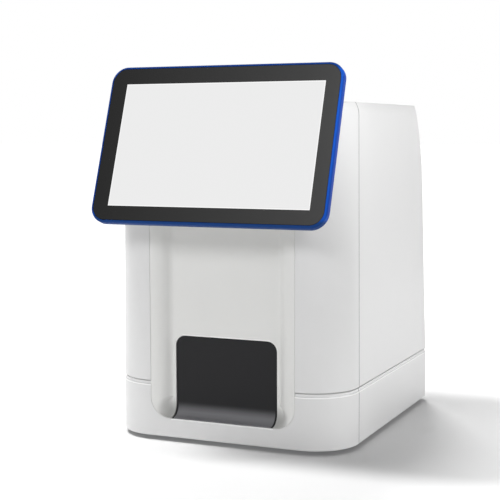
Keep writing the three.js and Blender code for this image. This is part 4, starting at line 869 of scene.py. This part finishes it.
foot_rubber = moulded("foot_rubber", (30, 30, 31), 0.85, spread=0.12, patch=150, grain=0.05, sheen=0.25)
foot_outline = ((0, 2.4), (3.2, 2.4), (3.4, 0.5), (5.6, 0.5), (6.1, 0), (8.2, 0), (10.9, 2.5), (10.4, 2.9),
                (10.4, 3.3), (11, 3.7), (11, 4.9), (10.4, 5.3), (10.4, 5.7), (11, 6.1), (11, 7.2),
                (10.5, 7.7), (0, 7.7))
for end, foot_y in (("front", FOOT_FRONT), ("rear", FOOT_REAR)):
    for hand, foot_x in (("left", -FOOT_SIDE), ("right", FOOT_SIDE)):
        foot = as_object(f"ribbed_foot_{end}_{hand}", turned(foot_outline, 40, (foot_x, foot_y, 0)))
        finish_piece(foot, f"foot_{end}_{hand}", foot_rubber)


# Drawer tray and cartridge holder
# A shallow black tray is screwed behind the drawer's front and carries a machined aluminium holder with a
# well, in which thin webs keep the cartridges upright.
TRAY_FLOOR, WEB_HALF_WIDTH, WEB_HALF_WALL, WEB_LOW, WEB_HIGH = 50, 31.1, 0.6, 5.2, 9.4


def gather(*forms, place=(0, 0, 0)):
    """Several forms together in one bmesh, set in its place."""
    whole = bmesh.new()
    for form in forms:
        part = bpy.data.meshes.new("part")
        form.to_mesh(part)
        form.free()
        whole.from_mesh(part)
        bpy.data.meshes.remove(part)
    bmesh.ops.translate(whole, vec=place, verts=whole.verts)
    return whole


black_plastic = moulded("black_plastic", (30, 30, 32), 0.5, spread=0.06, patch=40, grain=0.03, sheen=0.35)
milled = moulded("milled_aluminium", (204, 206, 209), 0.36, metal=1, spread=0.05, patch=260, grain=0.008,
                 stretch=(1, 0.04, 1))
finish_copy("drawer_tray", 0.6, black_plastic)
holder = merged_copy("cartridge_holder")
web_height = (TRAY_FLOOR + WEB_LOW, TRAY_FLOOR + WEB_HIGH)
webs = [block(around(0, WEB_HALF_WIDTH), around(web_y, WEB_HALF_WALL), web_height)
        for web_y in range(78, 140, 11)]
join(holder, gather(*webs))
soften(holder, 0.35)
finish_piece(holder, "cartridge_holder", milled)


# Runners and their brackets
# Three-part telescopic runners, roll formed from bright steel strip, with a grease sheen along them. Each
# outer member is riveted to a bent bracket on the base plate.
drawn_steel = moulded("drawn_steel", (184, 186, 189), 0.3, metal=1, spread=0.07, patch=420, grain=0.006,
                      stretch=(1, 0.02, 1))
for hand in ("left", "right"):
    finish_copy(f"runner_inner_{hand}", 0.5, drawn_steel)
    finish_copy(f"runner_middle_{hand}", 0.15, drawn_steel)
    finish_copy(f"runner_outer_{hand}", 0.15, drawn_steel)
    finish_copy(f"runner_bracket_{hand}", 0.4, zinc_plate)


# Rack, pinion and drawer motor
# A cut brass rack hangs under the tray, and a brass pinion on the motor's upright shaft drives it. The
# stepper motor is a stack of black steel sheets between two cast end caps.
cut_brass = moulded("cut_brass", (196, 160, 92), 0.3, metal=1, spread=0.06, patch=500, grain=0.006,
                    stretch=(1, 1, 0.03))
for gear in ("drawer_rack", "drive_pinion"):
    frame["nodes"][gear].data.materials.clear()
    frame["nodes"][gear].data.materials.append(cut_brass)


def repeated(value, pitch):
    """Runs from 0 to 1 again and again, once in each pitch in millimetres."""
    return (value / pitch).step("FRACT")


def motor_finish(name, stack_low, stack_high):
    """Bare cast end caps, and between them a stack of black sheets half a millimetre thick."""
    material = moulded(name, (170, 172, 175), 0.45, spread=0.05, grain=0.03)
    height = place_of(material)[2]
    in_stack = between(height, stack_low, stack_high)
    tint_where(material, in_stack, (26, 26, 28))
    tint_where(material, in_stack * within(repeated(height, 0.5), 0.5, 0.12), (58, 58, 61))
    return material


finish_copy("drawer_motor", 0.5, motor_finish("drawer_motor_caps", 17, 33))


# Rear panel and its screws
# A flat brushed steel sheet in the bay of the rear cover, with louvre slots beside the fan. Four pan head
# screws hold it to the bay's lip.
LOUVRE_X, LOUVRE_HALF_WIDTH, LOUVRE_HALF_HEIGHT, LOUVRE_ROUND = 56, 14, 1.3, 1.25
SCREW_X, SCREW_LOW, SCREW_HIGH, SCREW_SEAT = 78, 28, 186, BAY_FACE + SLIDE_FIT
CROSS_LONG, CROSS_WIDE, CROSS_FLOOR = 1.5, 0.3, 0.7
OUT_OF_BACK = Matrix.Rotation(-pi / 2, 3, "X")
brushed_steel = moulded("brushed_steel", (178, 180, 183), 0.4, metal=1, spread=0.06, patch=380, grain=0.01,
                        stretch=(0.02, 1, 1))
rear_sheet = merged_copy("rear_panel")
louvres = [rounded_block(around(side * LOUVRE_X, LOUVRE_HALF_WIDTH), around(BAY_FACE, 5),
                         around(louvre_z, LOUVRE_HALF_HEIGHT), LOUVRE_ROUND, 4)
           for side in (-1, 1) for louvre_z in range(94, 178, 7)]
carve(rear_sheet, gather(*louvres))
soften(rear_sheet, 0.2, segments=1)
finish_piece(rear_sheet, "rear_panel", brushed_steel)

screw_steel = moulded("screw_steel", (190, 191, 194), 0.28, metal=1, spread=0.05, patch=300)
screw_outline = ((0, -4.1), (1.1, -4.1), (1.4, -3.6), (1.4, 0), (2.6, 0), (2.8, 0.25), (2.75, 0.8),
                 (2.3, 1.35), (1.5, 1.58), (0, 1.6))
screw_places = [(x, z) for z in (SCREW_LOW, SCREW_HIGH) for x in (-SCREW_X, SCREW_X)]
for number, (screw_x, screw_z) in enumerate(screw_places, 1):
    screw_form = turned(screw_outline, 28, (screw_x, SCREW_SEAT, screw_z), OUT_OF_BACK)
    screw = as_object(f"pan_screw_{number}", screw_form)
    cross_depth = (SCREW_SEAT + CROSS_FLOOR, SCREW_SEAT + 3)
    for wide, high in ((CROSS_LONG, CROSS_WIDE), (CROSS_WIDE, CROSS_LONG)):
        carve(screw, block(around(screw_x, wide), cross_depth, around(screw_z, high)))
    finish_piece(screw, f"panel_screw_{number}", screw_steel)


# Fan and fan guard
# A 60 mm axial fan behind the panel: a moulded frame with a four-armed spider, and a rotor of seven twisted
# blades. A guard of round spot welded wire closes its opening.
FAN_HEIGHT, FAN_SIZE, FAN_BORE, FAN_FRONT, FAN_BACK = 130, 60, 28.6, 269.2, 284.2
FAN_CORNER, BORE_LEDGE, SCREW_HOLE, HOLE_AT, ARM_HALF, ARM_WALL = 4, 0.9, 2.1, 25, 1.6, 2
ROTOR_FRONT, ROTOR_DEPTH, HUB_RADIUS, BLADE_REACH, BLADES = 272.9, 9, 12, 26.3, 7
ROOT_PITCH, PITCH_LOSS, ROOT_CHORD, CHORD_GAIN, BLADE_WALL, BLADE_RISE = 44, 16, 11, 4, 0.9, 0.82
WIRE, GUARD_REACH, WIRE_STEPS = 0.8, 31.2, 10


def rod(radius, half_length, steps, place=(0, 0, 0), lie=UPRIGHT):
    outline = ((0, -half_length), (radius, -half_length), (radius, half_length), (0, half_length))
    return turned(outline, steps, place, lie)


fan_middle = (0, FAN_BACK, FAN_HEIGHT)
fan_form = rounded_block(around(0, FAN_SIZE / 2), (FAN_FRONT, FAN_BACK), around(FAN_HEIGHT, FAN_SIZE / 2),
                         FAN_CORNER, 6)
fan_housing = as_object("fan_housing", fan_form)
carve(fan_housing, rod(FAN_BORE - BORE_LEDGE, 20, 72, fan_middle, OUT_OF_BACK))
screw_holes = [rod(SCREW_HOLE, 20, 20, (x, FAN_BACK, FAN_HEIGHT + z), OUT_OF_BACK)
               for x in (-HOLE_AT, HOLE_AT) for z in (-HOLE_AT, HOLE_AT)]
carve(fan_housing, gather(*screw_holes))
for wide, high in ((FAN_BORE, ARM_HALF), (ARM_HALF, FAN_BORE)):
    join(fan_housing, block(around(0, wide), (FAN_BACK - ARM_WALL, FAN_BACK), around(FAN_HEIGHT, high)))
spider_hub = ((0, -11), (1.5, -11), (1.5, -2), (12, -2), (12, 0), (0, 0))
join(fan_housing, turned(spider_hub, 48, fan_middle, OUT_OF_BACK))
soften(fan_housing, 0.3)
finish_piece(fan_housing, "fan_frame", black_plastic)

rotor_hub = ((0, 0), (HUB_RADIUS - 1, 0), (HUB_RADIUS, 1), (HUB_RADIUS, ROTOR_DEPTH), (1.9, ROTOR_DEPTH),
             (1.9, 2), (0, 2))
rotor = [turned(rotor_hub, 48, lie=OUT_OF_BACK)]
for number in range(BLADES):
    blade = bmesh.new()
    bmesh.ops.create_grid(blade, x_segments=7, y_segments=6, size=1 / 2)
    for vert in blade.verts:
        outwards = vert.co.x + 0.5
        reach = HUB_RADIUS - 0.5 + (BLADE_REACH - HUB_RADIUS + 0.5) * outwards
        pitch = radians(ROOT_PITCH - PITCH_LOSS * outwards)
        chord = vert.co.y * (ROOT_CHORD + CHORD_GAIN * outwards)
        turn = chord * cos(pitch) / reach + 2 * pi * number / BLADES
        depth = ROTOR_DEPTH / 2 + chord * sin(pitch) * BLADE_RISE
        vert.co = (reach * cos(turn), depth, reach * sin(turn))
    bmesh.ops.solidify(blade, geom=blade.faces[:], thickness=BLADE_WALL)
    rotor.append(blade)
rotor_form = gather(*rotor, place=(0, ROTOR_FRONT, FAN_HEIGHT))
finish_piece(as_object("bladed_rotor", rotor_form), "fan_rotor", black_plastic)

wire_turns = [2 * pi * n / WIRE_STEPS for n in range(WIRE_STEPS + 1)]
wires = [turned([(ring + WIRE * cos(turn), WIRE * sin(turn)) for turn in wire_turns], 72, lie=OUT_OF_BACK)
         for ring in (GUARD_REACH - WIRE, 24, 17.6, 11.2)]
wires += [rod(WIRE * 0.98, GUARD_REACH - WIRE, WIRE_STEPS, lie=Matrix.Rotation(turn, 3, "Y"))
          for turn in (pi / 4, 3 * pi / 4)]
guard = as_object("wire_guard", gather(*wires, place=(0, SCREW_SEAT + WIRE, FAN_HEIGHT)))
finish_piece(guard, "fan_guard", screw_steel)


# Power inlet, switch and ports
# A three-pin appliance inlet and a rocker switch, both snapped into the rear panel, and the plated cans of
# two small ports and a network port from the computer board.
PIN_HALF_WIDTH, PIN_HALF_HEIGHT, PIN_DEPTH = 1.2, 2.2, (271, 281)
SWITCH_X, ON_HEIGHT, OFF_HEIGHT, ROCKER_FACE = 12, 56, 48.4, 286.4
PORTS_X, PORTS_DEPTH, PORTS_HEIGHT = (-72.5, -41.5), (274, 285.6), (34.8, 48.4)


def inside(place, xs, ys, zs):
    """1 inside a box of the object, given in millimetres behind the front face, 0 outside."""
    in_x, in_y, in_z = (between(value, low + shift, high + shift)
                        for value, (low, high), shift in zip(place, (xs, ys, zs), (0, FRAME_SHIFT, 0)))
    return in_x * in_y * in_z


inlet_black = moulded("inlet_black", (24, 24, 25), 0.32, spread=0.08, grain=0.01)
inlet_place = place_of(inlet_black)
for pin_x, pin_z in ((41, 50), (48, 54), (55, 50)):
    on_pin = inside(inlet_place, around(pin_x, PIN_HALF_WIDTH), PIN_DEPTH, around(pin_z, PIN_HALF_HEIGHT))
    tint_where(inlet_black, on_pin, (205, 180, 120))
finish_copy("power_inlet", 0.4, inlet_black)
finish_copy("switch_body", 0.4, black_plastic)

rocker_black = moulded("rocker_black", (28, 28, 30), 0.28, spread=0.05, grain=0.006)
rocker_x, rocker_y, rocker_z = place_of(rocker_black)
off_centre = rocker_x - SWITCH_X
on_bar = within(off_centre, 0, 0.32) * within(rocker_z, ON_HEIGHT, 1.7)
off_ring = within(distance(off_centre, rocker_z - OFF_HEIGHT), 1.5, 0.3)
tint_where(rocker_black, (on_bar | off_ring) * (rocker_y > ROCKER_FACE + FRAME_SHIFT), (225, 225, 225))
finish_copy("switch_rocker", 0.5, rocker_black)

port_can = moulded("port_can", (186, 188, 190), 0.3, metal=1, spread=0.04, patch=200, grain=0.005)
tint_where(port_can, inside(place_of(port_can), PORTS_X, PORTS_DEPTH, PORTS_HEIGHT), (30, 30, 32))
finish_copy("port_block", 0.2, port_can)


# Circuit boards and power supply
# Green glass fibre boards with copper traces under the lacquer, a finned heat sink, chips and connectors. The
# supply is a folded aluminium can whose round vent holes are painted on as dark spots of painted shade.
BOARD_WALL, COMPUTER_LOW, DRIVER_LOW = 1.6, 31.7, 18.3
COMPUTER_TOP, DRIVER_TOP = COMPUTER_LOW + BOARD_WALL, DRIVER_LOW + BOARD_WALL
CHIP_LIFT, CHIP_TOP, PLUG_HEIGHT = 0.2, 2.5, 9
SINK_X, SINK_Y, SINK_FOOT, FIN_WALL, FIN_LOW, FIN_HIGH = (-91.1, -61.1), (216.5, 246.5), 2.5, 1.2, 2, 9
PIN_PITCH, VENT_PITCH, VENT_FROM = 2.54, 6, 48


def board_finish(name, top=None):
    """Lacquer over traces on a pin grid, tinned pads, and on a flat board black parts above its top."""
    material = moulded(name, (24, 84, 54), 0.35, spread=0.12, patch=120, grain=0.01)
    x, y, z = place_of(material)
    across, along = (repeated(value, PIN_PITCH) for value in (x, z if top is None else y))
    patches = cells_of(material, 90)
    lines = within(across, 0.5, 0.09) * (patches > 0.5)
    rows = within(along, 0.5, 0.09) * (patches < 0.42)
    tint_where(material, lines | rows, (62, 132, 88))
    pads = within(across, 0.5, 0.16) * within(along, 0.5, 0.16)
    tint_where(material, pads * (patches > 0.56), (190, 186, 165))
    if top is not None:
        tint_where(material, z > top + 0.05, (34, 34, 36))
    return material


def chip_legs(x, y, z, size, count):
    """Two rows of gull wing legs beside a chip."""
    step = size / count
    legs = [[y + (n + edge - count / 2) * step for edge in (0.25, 0.75)] for n in range(count)]
    return [block(around(x + side * size / 2, 0.9), leg, (z, z + 0.5)) for side in (-1, 1) for leg in legs]


def raised(xs, ys, board_top, low, high):
    """A block on a board, from its low to its high side above the board."""
    return block(xs, ys, (board_top + low, board_top + high))


def capacitors(outline, board_top, *places):
    return [turned(outline, 20, (*place, board_top)) for place in places]


computer = [
    block((-112, -40.3), (183.5, 279.5), (COMPUTER_LOW, COMPUTER_TOP)),
    raised(SINK_X, SINK_Y, COMPUTER_TOP, 0, SINK_FOOT),
    *(raised(SINK_X, (fin_y, fin_y + FIN_WALL), COMPUTER_TOP, FIN_LOW, FIN_HIGH)
      for fin_y in range(217, 246, 4)),
    raised((-104, -90), (206, 220), COMPUTER_TOP, CHIP_LIFT, CHIP_TOP),
    *chip_legs(-97, 213, COMPUTER_TOP, 14, 10),
    raised((-62.8, -47.8), (195, 202), COMPUTER_TOP, 0, PLUG_HEIGHT),
    *capacitors(((0, 0), (2.4, 0), (2.5, 0.3), (2.5, 6.8), (2.2, 7.2), (0, 7.2)), COMPUTER_TOP,
                (-74, 196), (-80.5, 196), (-100, 258), (-93.5, 258), (-55, 262), (-55, 254)),
]
computer_board = as_object("computer_assembly", gather(*computer))
finish_piece(computer_board, "computer_board", board_finish("computer_lacquer", COMPUTER_TOP))
driver = [
    block((72, 116), (32, 94), (DRIVER_LOW, DRIVER_TOP)),
    raised((86.5, 101.5), (55.5, 70.5), DRIVER_TOP, CHIP_LIFT, CHIP_TOP),
    raised((86.5, 101.5), (36, 43), DRIVER_TOP, 0, PLUG_HEIGHT),
    raised((79, 109), (83, 90), DRIVER_TOP, 0, PLUG_HEIGHT),
    *chip_legs(94, 63, DRIVER_TOP, 15, 10),
    *capacitors(((0, 0), (2.9, 0), (3, 0.3), (3, 7.4), (2.6, 7.9), (0, 7.9)), DRIVER_TOP,
                (78, 50), (78, 58), (110, 50), (110, 58)),
]
driver_board = as_object("driver_assembly", gather(*driver))
finish_piece(driver_board, "driver_board", board_finish("driver_lacquer", DRIVER_TOP))

supply_can = moulded("supply_can", (196, 198, 201), 0.38, metal=1, spread=0.04, patch=90, grain=0.01)
can_x, can_y, can_z = place_of(supply_can)
# Painted shade: dark spots stand for the round vent holes in the can's upper part.
painted_vent_x, painted_vent_y = (within(repeated(value, VENT_PITCH), 0.5, 0.26) for value in (can_x, can_y))
tint_where(supply_can, painted_vent_x * painted_vent_y * (can_z > VENT_FROM), (22, 22, 23))
finish_copy("power_supply", 0.5, supply_can)


# Optics
# An anodised column carries the stage, the lamp below it, and a carriage with the objective and the camera. A
# small motor with a threaded spindle moves the carriage.
OPTIC_Y, LAMP_TOP, OBJECTIVE_TIP, CAMERA_LOW, CAMERA_HIGH = 182, 81.7, 108.7, 186.3, 232.3
SPINDLE_X, SPINDLE_Y, SPINDLE_LOW, THREADS = 26, 194.7, 143, 55
MOTOR_HALF, MOTOR_LOW, MOTOR_HIGH, FIN_PITCH = 10, 255, 283, 2.4
anodised = moulded("anodised_aluminium", (186, 189, 194), 0.5, metal=1, spread=0.03, patch=50, grain=0.03)
finish_copy("optics_column", 0.6, anodised)
finish_copy("stage_base", 0.5, anodised)
finish_copy("focus_carriage", 0.6, anodised)
finish_copy("slide_plate", 0.4, milled)

lamp_outline = [(0, -12), (9, -12), (9.6, -11.4)]
for fin in range(3):
    lamp_outline += [(radius, fin * FIN_PITCH - below)
                     for radius, below in ((9.6, 10.6), (8.6, 10.2), (8.6, 9.4), (9.9, 9))]
lamp_outline += [(9.9, -2), (16.6, -2), (17, -1.6), (17, -0.4), (16.6, 0), (6, 0), (6, 1.8), (4.6, 2.6),
                 (2.4, 2.95), (0, 3)]
lamp_black = moulded("lamp_housing", (32, 32, 34), 0.42, spread=0.06, grain=0.02)
tint_where(lamp_black, place_of(lamp_black)[2] > LAMP_TOP + 0.3, (214, 222, 228))
stage_lamp = as_object("condenser_lamp", turned(lamp_outline, 48, (0, OPTIC_Y, LAMP_TOP)))
finish_piece(stage_lamp, "stage_lamp", lamp_black)

objective_outline = [(0, 0.8), (2.2, 0.4), (2.4, 0), (4, 0), (4.4, 0.4), (8.8, 9), (9.4, 9.4), (9.4, 12),
                     (10, 12.4), (10, 15.4), (9.5, 15.8), (9.5, 17)]
for ridge in range(6):
    objective_outline += [(9.5, 17.2 + ridge), (10, 17.5 + ridge), (10, 17.8 + ridge)]
objective_outline += [(9.5, 23.4), (9.5, 30), (8.6, 30.4), (8.6, 33), (0, 33)]
objective_brass = moulded("objective_brass", (196, 162, 98), 0.26, metal=1, spread=0.04, patch=300,
                          grain=0.004)
tint_where(objective_brass, within(place_of(objective_brass)[2], OBJECTIVE_TIP + 13.9, 1), (228, 228, 226))
objective = as_object("turned_objective", turned(objective_outline, 56, (0, OPTIC_Y, OBJECTIVE_TIP)))
finish_piece(objective, "objective", objective_brass)

housing_xy = (around(0, 14.2), around(OPTIC_Y, 17.2))
fin_xy = (around(0, 15), around(OPTIC_Y, 18))
camera_fins = [block(*housing_xy, (CAMERA_LOW, CAMERA_HIGH))]
camera_fins += [block(*fin_xy, (fin_z, fin_z + 1.4)) for fin_z in range(190, 228, 3)]
camera_fins.append(block(*fin_xy, (CAMERA_LOW, CAMERA_LOW + 2.2)))
camera_black = moulded("camera_black", (36, 36, 39), 0.45, spread=0.06, patch=80, grain=0.02)
finish_piece(as_object("finned_camera", gather(*camera_fins)), "camera_body", camera_black)

spindle_outline = [(0, SPINDLE_LOW), (1.7, SPINDLE_LOW)]
for thread in range(THREADS):
    spindle_outline += [(radius, SPINDLE_LOW + rise + 2 * thread)
                        for radius, rise in ((2.5, 1), (2.5, 1.6), (1.9, 2), (1.9, 2.6))]
spindle_outline += [(1.9, MOTOR_LOW + 0.5), (0, MOTOR_LOW + 0.5)]
motor_block = block(around(SPINDLE_X, MOTOR_HALF), around(SPINDLE_Y, MOTOR_HALF), (MOTOR_LOW, MOTOR_HIGH))
round_edges(motor_block, upright, 2, segments=4)
spindle = turned(spindle_outline, 18, (SPINDLE_X, SPINDLE_Y, 0))
focus_finish = motor_finish("focus_motor_caps", MOTOR_LOW + 5, MOTOR_HIGH - 6)
finish_piece(as_object("spindle_motor", gather(motor_block, spindle)), "focus_motor", focus_finish)


# Liquid handling
# A bent aluminium gantry carries the dispensing head with its steel needle. A syringe pump at the side holds
# a glass barrel, whose plunger is pulled by a small arm.
NEEDLE_Y, NEEDLE_TIP = 107.7, 85.7
SYRINGE_X, SYRINGE_Y, BARREL_TOP, SCALE_HALF, SCALE_PITCH, PLUNGER_ARM = -96, 110, 151.3, 24, 2, 135.1
finish_copy("dispensing_gantry", 0.6, anodised)
finish_copy("dispensing_head", 1.2, black_plastic)
finish_copy("syringe_pump", 0.8, black_plastic)

needle_outline = ((0, 0), (0.5, 0.1), (1.2, 3.2), (1.2, 27.6), (2.2, 28), (3.6, 29), (4, 29.6), (4, 31),
                  (3.5, 31.4), (3.5, 32), (4, 32.4), (4, 35.6), (3.6, 36), (0, 36))
needle = as_object("hollow_needle", turned(needle_outline, 28, (0, NEEDLE_Y, NEEDLE_TIP)))
finish_piece(needle, "needle", screw_steel)

barrel_outline = ((0, -4), (5, -4), (5.5, -4.5), (5.5, -62), (7, -62), (7, -61.4), (6.7, -61), (6.7, -2.4),
                  (7, -2), (7, -0.4), (6.6, 0), (1.6, 0), (1.4, 7.8), (1.2, 8), (0, 8))
barrel_glass = moulded("barrel_glass", (232, 240, 242), 0.04, spread=0.01, grain=0.002)
glass_shader = barrel_glass.node_tree.nodes["Principled BSDF"]
feed(glass_shader.inputs["Transmission Weight"], 0.85)
feed(glass_shader.inputs["IOR"], 1.47)
barrel_x, barrel_y, barrel_z = place_of(barrel_glass)
in_scale = within(barrel_z, BARREL_TOP - 30, SCALE_HALF)
near_mark = within(repeated(barrel_z, SCALE_PITCH), 0.5, 0.1)
on_front = within(barrel_x, SYRINGE_X, 2.4) * (barrel_y < SYRINGE_Y - 5 + FRAME_SHIFT)
tint_where(barrel_glass, in_scale * near_mark * on_front, (30, 30, 34))
barrel = as_object("glass_barrel", turned(barrel_outline, 48, (SYRINGE_X, SYRINGE_Y, BARREL_TOP)))
finish_piece(barrel, "syringe_barrel", barrel_glass)

plunger_steel = moulded("plunger_steel", (186, 188, 191), 0.3, metal=1, spread=0.05, patch=300, grain=0.004)
tint_where(plunger_steel, place_of(plunger_steel)[2] > PLUNGER_ARM, (120, 122, 126))
finish_copy("syringe_plunger", 0.25, plunger_steel)


# Display's inner pieces and back cover
# Behind the pane lie the lit panel and its board, closed by a moulded back cover with vent slots and four
# countersunk screws. The cover has the same grey and grain as the body.
BULGE_BACK, VENT_X, VENT_HALF_WIDTH, VENT_HALF_HEIGHT, VENT_ROUND = 14.3, 52, 18, 1, 0.95
back_cover = merged_copy("display_back_cover")
vents = [rounded_block(around(side * VENT_X, VENT_HALF_WIDTH), around(BULGE_BACK, 5),
                       around(vent_z, VENT_HALF_HEIGHT), VENT_ROUND, 4)
         for side in (-1, 1) for vent_z in range(20, 44, 5)]
carve(back_cover, gather(*vents), DISPLAY_PLACE)
soften(back_cover, 0.6)
finish_piece(back_cover, "display_back_cover", shell_grey)

countersunk = ((0, -2), (1, -2), (1, -1), (2.4, 0), (0, 0))
back_screws = [turned(countersunk, 24, (x, BULGE_BACK + 0.1, z), OUT_OF_BACK)
               for x in (-86, 86) for z in (-46, 46)]
display_screws = as_object("display_screws", gather(*back_screws), DISPLAY_PLACE)
dress(display_screws, screw_steel, "display")

panel_frame = moulded("panel_frame", (190, 192, 196), 0.35, metal=1, spread=0.04, patch=120)
finish_copy("lcd_panel", 0.3, panel_frame)
finish_copy("display_board", 0.2, board_finish("display_lacquer"))


# Display arm and hinge
# A cast aluminium arm on the display's back turns on a steel pin in a bent bracket, which is screwed inside
# the front cover's slanted face.
PIN_HALF, PIN_Y, PIN_Z = 37.3, 25.24, 308.525
cast_aluminium = moulded("cast_aluminium", (176, 178, 182), 0.55, metal=1, spread=0.06, patch=70, grain=0.06,
                         pitch=500)
finish_copy("display_arm", 0.7, cast_aluminium)
finish_copy("hinge_bracket", 0.3, drawn_steel)
pin_outline = ((0, -PIN_HALF), (1.6, -PIN_HALF), (2, 0.4 - PIN_HALF), (2, PIN_HALF - 0.4), (1.6, PIN_HALF),
               (0, PIN_HALF))
hinge_pin = turned(pin_outline, 28, (0, PIN_Y, PIN_Z), Matrix.Rotation(pi / 2, 3, "Y"))
finish_piece(as_object("ground_pin", hinge_pin), "hinge_pin", screw_steel)
